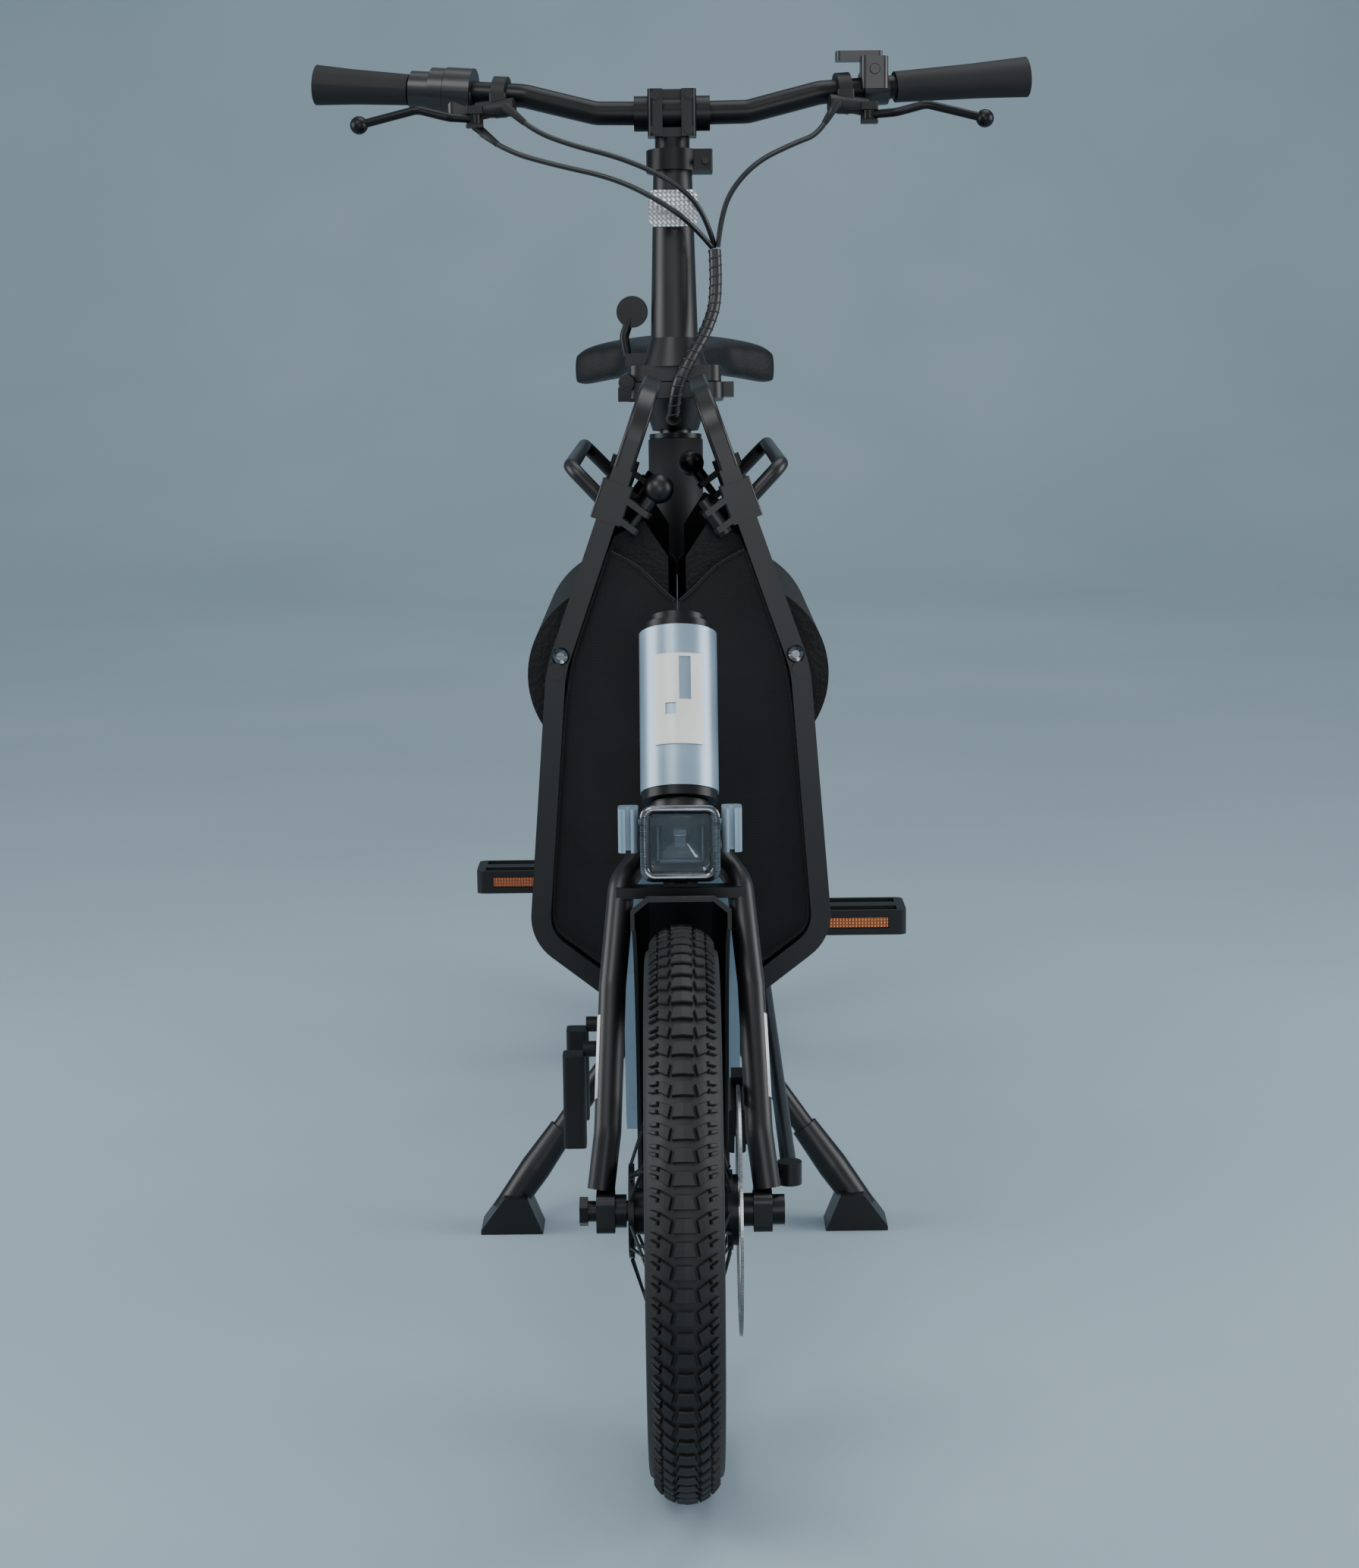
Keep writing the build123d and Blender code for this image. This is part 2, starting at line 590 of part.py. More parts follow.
with BuildPart() as faceplate:
    block((0, bar_y - 11, stem_height), (46, 20, 44), edge=5)
    block((0, bar_y - 20, stem_height), (18, 20, 60), mode=Mode.SUBTRACT)
    rod((-24, bar_y, stem_height), (24, bar_y, stem_height), clamp_diameter + 0.2, mode=Mode.SUBTRACT)
    for side in (-1, 1):
        for rise in (-16, 16):
            rod((side * 16, bar_y - 24, stem_height + rise), (side * 16, bar_y - 20, stem_height + rise), 9)
save(faceplate, "stem_faceplate")


def on_bar(side, distance):
    """The point of the handlebar's axis this far out from the middle."""
    reach = abs(distance)
    stations = ((0, 0, 0), (72, 1, 0), (140, 18, 2), (bar_width / 2, 33, 38))
    for near, far in zip(stations, stations[1:]):
        if reach <= far[0]:
            share = (reach - near[0]) / (far[0] - near[0])
            break
    rise = near[1] + (far[1] - near[1]) * share
    sweep_back = near[2] + (far[2] - near[2]) * share
    return Vector(side * reach, bar_y + sweep_back, stem_height + rise)


with BuildPart() as handlebar:
    rod((-36, bar_y, stem_height), (36, bar_y, stem_height), clamp_diameter)
    for side in (-1, 1):
        tube([on_bar(side, 34), on_bar(side, 72), on_bar(side, 140), on_bar(side, bar_width / 2 - 2)], 30,
             bar_diameter)
save(handlebar, "handlebar")

with BuildPart() as grips:
    for side, length in ((-1, grip_length - 38), (1, grip_length)):
        tip, root = on_bar(side, bar_width / 2), on_bar(side, bar_width / 2 - length)
        cone(root, root + (tip - root) * 0.6, 29, grip_diameter)
        cone(root + (tip - root) * 0.6, tip, grip_diameter, 38)
        rod(root - (tip - root) * 0.01, root + (tip - root) * 0.985, bar_diameter + 0.1, mode=Mode.SUBTRACT)
save(grips, "grips")

control_side = 192
with BuildPart() as control_housings:
    spot = on_bar(1, control_side)
    block(spot + Vector(0, -4, 14), (26, 30, 30), edge=5)
    block(spot + Vector(-14, 2, 30), (44, 26, 9), edge=4)
    ring(spot, on_bar(1, 240) - on_bar(1, 145), 32, 0, 24)
    rod(on_bar(1, 145), on_bar(1, 240), bar_diameter + 0.2, mode=Mode.SUBTRACT)
    rod(spot + Vector(0, -22, 17), spot + Vector(0, -13, 17), 10, mode=Mode.SUBTRACT)
    near, far = on_bar(-1, 188), on_bar(-1, 213.4)
    rod(near, far, 46)
    block((near + far) * 0.5 + Vector(0, -6, -14), (24, 28, 26), edge=6)
    rod(on_bar(-1, 175), on_bar(-1, 220), bar_diameter + 0.2, mode=Mode.SUBTRACT)
save(control_housings, "control_housings")

with BuildPart() as power_button:
    rod(spot + Vector(0, -20.5, 17), spot + Vector(0, -14.5, 17), 9)
save(power_button, "power_button")

brake_side = 176
with BuildPart() as brake_bodies:
    for side in (-1, 1):
        clamp = on_bar(side, brake_side - 14)
        along = on_bar(side, 200) - on_bar(side, 150)
        ring(clamp, along, 34, 0, 13)
        block(clamp + Vector(side * 2, -17, -11), (16, 20, 22), edge=3)
        rod(clamp + Vector(side * -14, -26, -13), clamp + Vector(side * 22, -20, -17), 17)
        block(clamp + Vector(side * 24, -24, -22), (16, 18, 20), edge=3)
        rod(on_bar(side, 140), on_bar(side, 240), bar_diameter + 0.2, mode=Mode.SUBTRACT)
        block(clamp + Vector(side * 26, -30, -24), (44, 26, 9.4), mode=Mode.SUBTRACT)
save(brake_bodies, "brake_bodies")

lever_pivot = on_bar(1, brake_side - 14) + Vector(24, -26, -24)
with BuildPart() as lever_left:
    rod(lever_pivot - Vector(0, 0, 4.2), lever_pivot + Vector(0, 0, 4.2), 13)
    tube([lever_pivot, lever_pivot + Vector(24, -14, 1), lever_pivot + Vector(52, -17, 8),
          lever_pivot + Vector(78, -13, 2), lever_pivot + Vector(104, -8, -4)], 18, 8)
    with Locations(lever_pivot + Vector(108, -7, -5)):
        Sphere(8.5)
save(lever_left, "brake_lever_left")
with BuildPart() as lever_right:
    add(mirror(lever_left.part, about=Plane.YZ, mode=Mode.PRIVATE))
save(lever_right, "brake_lever_right")

with BuildPart() as twist_shifter:
    near, far = on_bar(-1, 214), on_bar(-1, 247.6)
    rod(near, far, 36)
    rod(near, near + (far - near) * 0.42, 44)
    rod(on_bar(-1, 200), on_bar(-1, 260), bar_diameter + running_gap, mode=Mode.SUBTRACT)
save(twist_shifter, "twist_shifter")

# ================= Crank, pedals, seat, stand, link =================
turn = radians(crank_rest_angle)
arm_side = 72
crank_tip = Vector(0, cos(turn), sin(turn)) * crank_length
pedal_width = 96
pedal_length = 62
pedal_height = 24
pedal_gap = 88
with BuildPart() as crankset:
    rod((-arm_side - 8, bottom_bracket.Y, crank_height), (arm_side + 8, bottom_bracket.Y, crank_height),
        spindle_diameter)
    for side in (-1, 1):
        tip = Vector(side * (arm_side + 8), bottom_bracket.Y, crank_height) - crank_tip * side
        root = Vector(side * arm_side, bottom_bracket.Y, crank_height)
        cone(root, tip, 24, 17)
        rod(tip + left * side * 4, tip + left * side * -7, 26)
        rod(root - left * side * 6, root + left * side * 9, 32)
        rod(tip + left * side * 3, tip + left * side * (pedal_gap + pedal_width / 2 - 10), 9)
    ring((chain_side, bottom_bracket.Y, crank_height), left, 2 * chainring_radius, 20, 4)
save(crankset, "crankset")

for side, word in ((-1, "right"), (1, "left")):
    tip = Vector(side * (arm_side + 8), bottom_bracket.Y, crank_height) - crank_tip * side
    middle = tip + left * side * pedal_gap
    with BuildPart() as pedal:
        block(middle, (pedal_width, pedal_length, pedal_height), edge=8)
        for step in (-1, 1):
            block(middle + Vector(0, step * 18, 0), (pedal_width - 18, 18, 60), mode=Mode.SUBTRACT)
            block(middle + Vector(0, step * pedal_length / 2, 0), (62, 5, 11), mode=Mode.SUBTRACT)
        rod(middle - left * 100, middle + left * 100, 9 + running_gap, mode=Mode.SUBTRACT)
    save(pedal, f"pedal_{word}")

saddle_clamp = on_seat_tube(saddle_height - 68)
with BuildPart() as seatpost:
    rod(on_seat_tube(seat_tube_top - 130), saddle_clamp, 27.2)
    block(saddle_clamp + Vector(0, 0, 6), (44, 46, 14), edge=6)
    for side in (-1, 1):
        tube([saddle_clamp + Vector(side * 12, -150, 22), saddle_clamp + Vector(side * 22, -60, 9),
              saddle_clamp + Vector(side * 22, 60, 9), saddle_clamp + Vector(side * 38, 112, 19)], 30, 7)
save(seatpost, "seatpost")

saddle_middle = saddle_clamp.Y
with BuildPart() as saddle:
    with BuildSketch(Plane.XY.offset(saddle_height - 44)):
        with BuildLine():
            nose = saddle_middle - 150
            tail = saddle_middle + 132
            half = [(0, nose), (20, nose + 14), (28, saddle_middle - 40), (60, saddle_middle + 30),
                    (saddle_width / 2, tail - 40), (saddle_width / 2 - 10, tail - 14), (40, tail)]
            Polyline(*half, *[(-x, y) for x, y in reversed(half)])
        make_face()
    extrude(amount=44)
    with BuildSketch(Plane.YZ):
        with BuildLine():
            top = saddle_height
            Polyline((nose - 5, top - 13), (saddle_middle - 40, top - 13), (tail - 60, top),
                     (tail + 5, top - 4), (tail + 5, top - 44), (tail - 90, top - 40),
                     (saddle_middle - 60, top - 34), (nose - 5, top - 38), (nose - 5, top - 13))
        make_face()
    extrude(amount=saddle_width, both=True, mode=Mode.INTERSECT)
save(saddle, "saddle")

with BuildPart() as seat_lever:
    foot = on_seat_tube(seat_tube_top + 8) + Vector(9, 29, -12)
    rod(foot, foot + left * 10, 14)
    tube([foot + left * 7, foot + Vector(10, -6, 16), foot + Vector(20, -14, 40), foot + Vector(36, -18, 62)],
         14, 8)
save(seat_lever, "seat_clamp_lever")

with BuildPart() as kickstand:
    rod((-52, stand_y, stand_height), (52, stand_y, stand_height), 12)
    for side in (-1, 1):
        root = Vector(side * 52, stand_y, stand_height)
        sole = Vector(side * (stand_reach - 26), stand_y - 24, 22)
        rod(root, sole, 20)
        cone(root + (sole - root) * 0.55, root + (sole - root) * 0.78, 25, 29)
        cone(root + (sole - root) * 0.78, sole + (sole - root) * 0.04, 29, 26)
        rod(root - left * side * 6, root + left * side * 8, 24)
        with BuildSketch(Plane.XZ.offset(-(stand_y - 24) - 22)):
            with BuildLine():
                Polyline((side * (stand_reach - 58), 0), (side * stand_reach, 0), (side * stand_reach, 4),
                         (side * (stand_reach - 22), 34), (side * (stand_reach - 44), 34),
                         (side * (stand_reach - 58), 0))
            make_face()
        extrude(amount=44)
save(kickstand, "kickstand")

with BuildPart() as tie_rod:
    rod((link_side, link_arm.Y, link_height - 8.4), (link_side, link_arm.Y, link_height + 8.4), 18)
    rod((link_side, fork_lug.Y + 12, link_height), (link_side, link_arm.Y - 6, link_height), 12)
    rod((link_side, fork_lug.Y, link_height - 8.4), (link_side, fork_lug.Y, link_height + 8.4), 18)
    rod((link_side, fork_lug.Y + 4, link_height), (link_side, fork_lug.Y + 16, link_height), 12)
save(tie_rod, "tie_rod")

# ================= Folding basket =================
open_angle = 36
shell_wall = 5
fabric_wall = 2
top_bend = 36
ball_diameter = 24
rail_diameter = 12
bolt_head = 13.5
corner_x, corner_z = basket_corner
elbow_x, elbow_z = basket_elbow
top_x = 22
lean = Vector(elbow_x - top_x, 0, elbow_z - basket_top_height).normalized() * -1
pin_tilt = radians(open_angle)
sleeve_height = 700
sleeve_x = elbow_x - (sleeve_height - elbow_z) * (elbow_x - top_x) / (basket_top_height - elbow_z)


def upright(y, points):
    """Points of one half's outline, in the plane across the bicycle at y."""
    return [(x, y, z) for x, z in points]


def plane_at(y):
    """The plane across the bicycle whose sketch X and Y are the row's X and Z."""
    return Plane(origin=(0, y, 0), x_dir=(1, 0, 0), z_dir=(0, -1, 0))


for side, word in ((-1, "right"), (1, "left")):
    lean_in = Vector(side * lean.X, 0, lean.Z)
    pin = Vector(-side * sin(pin_tilt), 0, cos(pin_tilt))
    inward = Vector(-side * cos(pin_tilt), 0, -sin(pin_tilt))
    rail_end = Vector(side * top_x, 0, basket_top_height)
    floor_slope = Vector(side * corner_x, 0, corner_z - basket_axis_height).normalized()
    axis_point = Vector(0, 0, basket_axis_height)
    with BuildPart() as basket_frame:
        for place, face in ((basket_front, -1), (basket_rear, 1)):
            start = axis_point + floor_slope * 15
            end = rail_end - lean_in * (top_bend + 24)
            with BuildSketch(plane_at(place + basket_tube / 2)):
                with BuildLine():
                    FilletPolyline((start.X, start.Z), (side * corner_x, corner_z), (side * elbow_x, elbow_z),
                                   (end.X, end.Z), radius=[34, 90])
                trace(line_width=basket_tube)
            extrude(amount=basket_tube)
            where = Vector(0, place + side * face * 4.1, 0)
            ring(axis_point + where, (0, 1, 0), 25, pivot_rod_diameter + running_gap, 7.6)
            block(axis_point + floor_slope * 14 + where, (9, basket_tube - 1, 7.6),
                  Plane(origin=(0, 0, 0), x_dir=floor_slope, z_dir=(0, 1, 0)))
            sleeve = Vector(side * sleeve_x, place, sleeve_height)
            block(sleeve, (18, 26, 32), Plane(origin=(0, 0, 0), x_dir=(0, 1, 0), z_dir=lean_in), edge=2)
            eye = sleeve + inward * 24
            for lift in (-1, 1):
                block(eye + pin * lift * 8 - inward * 6, (28, 18, 5),
                      Plane(origin=(0, 0, 0), x_dir=inward, z_dir=pin), edge=4)
            if side == face:
                rod(eye - pin * 9, eye + pin * 16, 7)
                rod(eye + pin * 11, eye + pin * 20, 12)
                with Locations(eye + pin * 30):
                    Sphere(ball_diameter / 2)
            else:
                rod(eye - pin * 14, eye + pin * 12, 16)
                rod(eye + pin * 11, eye + pin * 18, 12)
            rod((side * elbow_x, place + face * 8, elbow_z),
                (side * elbow_x, place + face * 11, elbow_z), bolt_head)
        rail = axis_point + floor_slope * 110
        rod(rail + Vector(0, basket_front, 0), rail + Vector(0, basket_rear, 0), 14)
        front_top = rail_end + Vector(0, basket_front, 0)
        rear_top = rail_end + Vector(0, basket_rear, 0)
        with BuildLine(mode=Mode.PRIVATE) as loop:
            FilletPolyline(front_top - lean_in * (top_bend + 25), front_top, rear_top,
                           rear_top - lean_in * (top_bend + 25), radius=top_bend)
        with BuildSketch(Plane(origin=loop.line @ 0, x_dir=(0, 1, 0), z_dir=lean_in), mode=Mode.PRIVATE) as square:
            RectangleRounded(basket_tube, basket_tube, 3)
        sweep(sections=square.sketch, path=loop.line)
        foot = Vector(side * (sleeve_x + 8), 0, sleeve_height + 2)
        knee = Vector(side * 84, 0, 728)
        tube([foot + Vector(0, basket_front + 4, 0), knee + Vector(0, basket_front + 10, 0),
              knee + Vector(0, basket_rear - 10, 0), foot + Vector(0, basket_rear - 4, 0)], 14, rail_diameter)
    save(basket_frame, f"basket_frame_{word}")

    wall = [(22, 288), (corner_x - 16, corner_z + 3), (elbow_x - 2, elbow_z - 6), (30, basket_top_height - 26)]
    with BuildPart() as basket_shell:
        with BuildSketch(plane_at(basket_rear - basket_tube / 2 - 2 * clear)):
            with BuildLine():
                FilletPolyline(*[(side * x, z) for x, z in wall], radius=[30, 80])
            trace(line_width=shell_wall)
        extrude(amount=basket_length - basket_tube - 4 * clear)
        with BuildSketch(plane_at(basket_rear - basket_tube / 2 - 14)):
            with BuildLine():
                low, high = (side * (elbow_x + 1), elbow_z - 62), (side * (elbow_x - 22), elbow_z + 62)
                ThreePointArc(low, (side * (elbow_x + 22), elbow_z + 10), high)
                Line(high, low)
            make_face()
        extrude(amount=basket_length - basket_tube - 28)
        for place in (basket_front + 15, basket_rear - 10):
            with BuildSketch(plane_at(place)):
                with BuildLine():
                    Polyline([(side * x, z) for x, z in
                              ((7, 560), (7, 655), (26, 684), (50, 672), (84, 600), (90, 560), (7, 560))])
                make_face()
            extrude(amount=shell_wall)
    save(basket_shell, f"basket_shell_{word}")

    gap = basket_tube / 2 + clear
    panel = [(0.6, 286), (corner_x - 14, corner_z + 7), (corner_x - 10, corner_z + 20), (elbow_x - gap, elbow_z - 2),
             (elbow_x - gap - 34, elbow_z + 96), (36, 652), (21, 640), (0.6, 621), (0.6, 286)]
    with BuildPart() as basket_fabric:
        for place in (basket_front, basket_rear):
            with BuildSketch(plane_at(place + fabric_wall / 2)):
                with BuildLine():
                    Polyline([(side * x, z) for x, z in panel])
                make_face()
            extrude(amount=fabric_wall)
    save(basket_fabric, f"basket_fabric_{word}")

# ================= Cables =================
hose_diameter = 5
harness_diameter = 12.6
harness_top = (39, back(757), 906)
harness_route = [(-2, back(728.5), 753), (-1, back(723), 764), (3, back(720), 784), (15, back(725), 806),
                 (31, back(738), 832), (41, back(750), 862), harness_top]
hose_routes = {
    "brake_hose_right": [(-149.5, back(747), 1034), (-132, back(742), 1018), (-98, back(740), 1004),
                         (-44, back(738), 990), (6, back(738), 966), (31, back(748), 938),
                         (39, back(760.2), 908.4)],
    "shift_cable": [(-180, back(772), 1016), (-158, back(762), 1000), (-112, back(752), 986),
                    (-52, back(740), 972), (-4, back(728), 946), (23, back(740), 924),
                    (36.2, back(755.4), 908.4)],
    "brake_hose_left": [(149.5, back(747), 1034), (140, back(744), 1012), (112, back(744), 1002),
                        (78, back(746), 986), (54, back(750), 960), (45, back(753), 934),
                        (41.8, back(755.4), 908.4)],
}


def cord(name, route, diameter):
    """A cable along its route, each corner an arc as large as its shorter run allows."""
    points = [Vector(*p) for p in route]
    radii = []
    for before, here, after in zip(points, points[1:], points[2:]):
        shorter = min((here - before).length, (after - here).length)
        turned = radians((here - before).get_angle(after - here))
        radii.append(0.45 * shorter / tan(turned / 2))
    print(name, "radii", [round(r) for r in radii])
    with BuildPart() as cable:
        with BuildLine() as path:
            FilletPolyline(*points, radius=radii)
        with BuildSketch(Plane(origin=path.line @ 0, z_dir=path.line % 0)):
            Circle(diameter / 2)
        sweep()
    length = sum(edge.length for edge in path.line.edges())
    share = cable.part.volume / (pi * diameter ** 2 / 4 * length)
    print(name, "volume over section times length", round(share, 4))
    save(cable, name)


cord("cable_harness", harness_route, harness_diameter)
for name, route in hose_routes.items():
    cord(name, route, hose_diameter)
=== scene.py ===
from math import cos, pi, radians, sin, tau

import bmesh
import bpy
from mathutils import Matrix, Vector


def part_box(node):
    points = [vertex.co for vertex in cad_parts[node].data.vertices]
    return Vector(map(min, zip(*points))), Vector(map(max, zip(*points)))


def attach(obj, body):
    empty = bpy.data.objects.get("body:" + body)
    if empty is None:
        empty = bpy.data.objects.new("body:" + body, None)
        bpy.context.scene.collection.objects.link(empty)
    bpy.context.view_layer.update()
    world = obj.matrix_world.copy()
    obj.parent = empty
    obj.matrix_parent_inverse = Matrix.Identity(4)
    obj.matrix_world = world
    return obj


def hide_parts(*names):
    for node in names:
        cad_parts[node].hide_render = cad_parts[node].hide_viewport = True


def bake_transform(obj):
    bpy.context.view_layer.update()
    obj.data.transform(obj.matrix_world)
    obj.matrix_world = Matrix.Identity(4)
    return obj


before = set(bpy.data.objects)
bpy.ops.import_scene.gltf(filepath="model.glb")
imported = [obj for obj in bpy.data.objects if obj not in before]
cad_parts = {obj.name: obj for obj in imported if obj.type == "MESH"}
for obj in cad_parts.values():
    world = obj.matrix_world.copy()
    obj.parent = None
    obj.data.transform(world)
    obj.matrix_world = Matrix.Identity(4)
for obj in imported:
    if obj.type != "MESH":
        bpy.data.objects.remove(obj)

bl_info = {
    "name": "Cargo bicycle",
    "version": (1, 0, 0),
    "blender": (4, 5, 0),
    "location": "View3D > Sidebar > Cargo bicycle",
    "description": "Soft pieces, tread, optics and finishes for a cargo bicycle with a folding basket",
    "category": "Add Mesh",
}

FRONT_AXLE_Y = -689


def back(distance):
    """The y, in millimetres, of a place that far behind the front axle."""
    return distance + FRONT_AXLE_Y


def m(x, y, z):
    """A point in metres from its millimetres."""
    return Vector((x, y, z)) / 1000


def linear(code):
    """A linear colour from an sRGB hex value."""
    parts = [int(code[i:i + 2], 16) / 255 for i in (1, 3, 5)]
    return tuple(c / 12.92 if c < 0.04045 else ((c + 0.055) / 1.055) ** 2.4 for c in parts) + (1,)


# ================= Materials =================
def add(tree, kind, values=None, links=None, **settings):
    """A node with its settings, socket values and incoming links."""
    node = tree.nodes.new(kind)
    for name, value in settings.items():
        setattr(node, name, value)
    for name, value in (values or {}).items():
        node.inputs[name].default_value = value
    for name, socket in (links or {}).items():
        tree.links.new(socket, node.inputs[name])
    return node


def start(name):
    made = bpy.data.materials.new(name)
    made.use_nodes = True
    tree = made.node_tree
    tree.nodes.clear()
    place = add(tree, "ShaderNodeTexCoord").outputs["Object"]
    return made, tree, place


def close(tree, values, links):
    shader = add(tree, "ShaderNodeBsdfPrincipled", values, links)
    add(tree, "ShaderNodeOutputMaterial", links={"Surface": shader.outputs[0]})


def vary(tree, pattern, dark, light, low=0.3, high=0.7):
    """Two shades of one colour, mixed by a pattern."""
    ramp = add(tree, "ShaderNodeValToRGB", links={"Fac": pattern})
    ramp.color_ramp.elements[0].position = low
    ramp.color_ramp.elements[0].color = linear(dark)
    ramp.color_ramp.elements[1].position = high
    ramp.color_ramp.elements[1].color = linear(light)
    return ramp.outputs["Color"]


def span(tree, pattern, low, high):
    """A pattern brought to the range from low to high."""
    return add(tree, "ShaderNodeMapRange", {"To Min": low, "To Max": high},
               {"Value": pattern}).outputs[0]


def bump(tree, pattern, height_mm, strength=0.4):
    return add(tree, "ShaderNodeBump", {"Strength": strength, "Distance": height_mm / 1000},
               {"Height": pattern}).outputs[0]


def noise(tree, place, grain_mm, detail=3.0):
    return add(tree, "ShaderNodeTexNoise", {"Scale": 1000 / grain_mm, "Detail": detail},
               {"Vector": place}).outputs[0]


def coated(name, dark, light, rough, grain_mm, height_mm, metallic=0.0, coat=0.0, coat_rough=0.2,
           sheen=0.0, specular=0.5):
    """A painted, moulded or anodised finish: a fine grain over slow patches of wear."""
    made, tree, place = start(name)
    patches = noise(tree, place, 70, 4)
    grain = noise(tree, place, grain_mm, 2)
    close(tree,
          {"Metallic": metallic, "Coat Weight": coat, "Coat Roughness": coat_rough, "Sheen Weight": sheen,
           "Specular IOR Level": specular},
          {"Base Color": vary(tree, patches, dark, light),
           "Roughness": span(tree, patches, rough - 0.06, rough + 0.07),
           "Normal": bump(tree, grain, height_mm)})
    return made


def beads(name, dark, light, bead_mm, rough):
    """Expanded foam or pebbled covering: small domes that touch."""
    made, tree, place = start(name)
    cells = add(tree, "ShaderNodeTexVoronoi", {"Scale": 1000 / bead_mm}, {"Vector": place})
    close(tree, {"Specular IOR Level": 0.35},
          {"Base Color": vary(tree, cells.outputs["Distance"], light, dark, 0.1, 0.7),
           "Roughness": span(tree, noise(tree, place, 40), rough - 0.08, rough + 0.08),
           "Normal": bump(tree, span(tree, cells.outputs["Distance"], 1, 0), bead_mm * 0.3, 0.5)})
    return made


def woven(name, dark, light, thread_mm):
    """Plain weave: warp and weft ridges crossing, with a little sheen from the fibres."""
    made, tree, place = start(name)
    warp = add(tree, "ShaderNodeTexWave", {"Scale": 1000 / thread_mm / tau, "Distortion": 0.6},
               {"Vector": place}, bands_direction="X").outputs[1]
    weft = add(tree, "ShaderNodeTexWave", {"Scale": 1000 / thread_mm / tau, "Distortion": 0.6},
               {"Vector": place}, bands_direction="Z").outputs[1]
    cross = add(tree, "ShaderNodeMath", {}, {0: warp, 1: weft}, operation="MAXIMUM").outputs[0]
    close(tree, {"Sheen Weight": 0.25, "Sheen Roughness": 0.5, "Specular IOR Level": 0.3},
          {"Base Color": vary(tree, noise(tree, place, 50), dark, light),
           "Roughness": span(tree, cross, 0.92, 0.78),
           "Normal": bump(tree, cross, 0.25, 0.5)})
    return made


def prisms(name, dark, light, cell_mm, clear):
    """A moulded reflector: rows of small corner prisms behind a smooth clear face."""
    made, tree, place = start(name)
    cells = add(tree, "ShaderNodeTexVoronoi", {"Scale": 1000 / cell_mm, "Randomness": 0.0},
                {"Vector": place})
    close(tree, {"Metallic": 0.35, "Coat Weight": 1.0, "Coat Roughness": 0.05,
                 "Transmission Weight": clear, "IOR": 1.49},
          {"Base Color": vary(tree, cells.outputs["Distance"], light, dark, 0.15, 0.55),
           "Roughness": span(tree, cells.outputs["Distance"], 0.12, 0.35),
           "Normal": bump(tree, cells.outputs["Distance"], cell_mm * 0.35, 0.8)})
    return made


def brushed(name, dark, light, rough):
    """Bare metal, drawn or ground: fine lines along one way."""
    made, tree, place = start(name)
    stretch = add(tree, "ShaderNodeMapping", {"Scale": (40, 1000, 1000)}, {"Vector": place}).outputs[0]
    lines = add(tree, "ShaderNodeTexNoise", {"Scale": 1.2, "Detail": 4}, {"Vector": stretch}).outputs[0]
    close(tree, {"Metallic": 1.0},
          {"Base Color": vary(tree, lines, dark, light),
           "Roughness": span(tree, lines, rough - 0.08, rough + 0.1),
           "Normal": bump(tree, lines, 0.05, 0.2)})
    return made


def glass(name, code, rough):
    """Clear moulded polycarbonate: smooth, with the faint ripple of a moulding."""
    made, tree, place = start(name)
    ripple = noise(tree, place, 14, 1)
    close(tree, {"Transmission Weight": 1.0, "IOR": 1.52, "Base Color": linear(code)},
          {"Roughness": span(tree, ripple, rough, rough + 0.02),
           "Normal": bump(tree, ripple, 0.05, 0.1)})
    return made


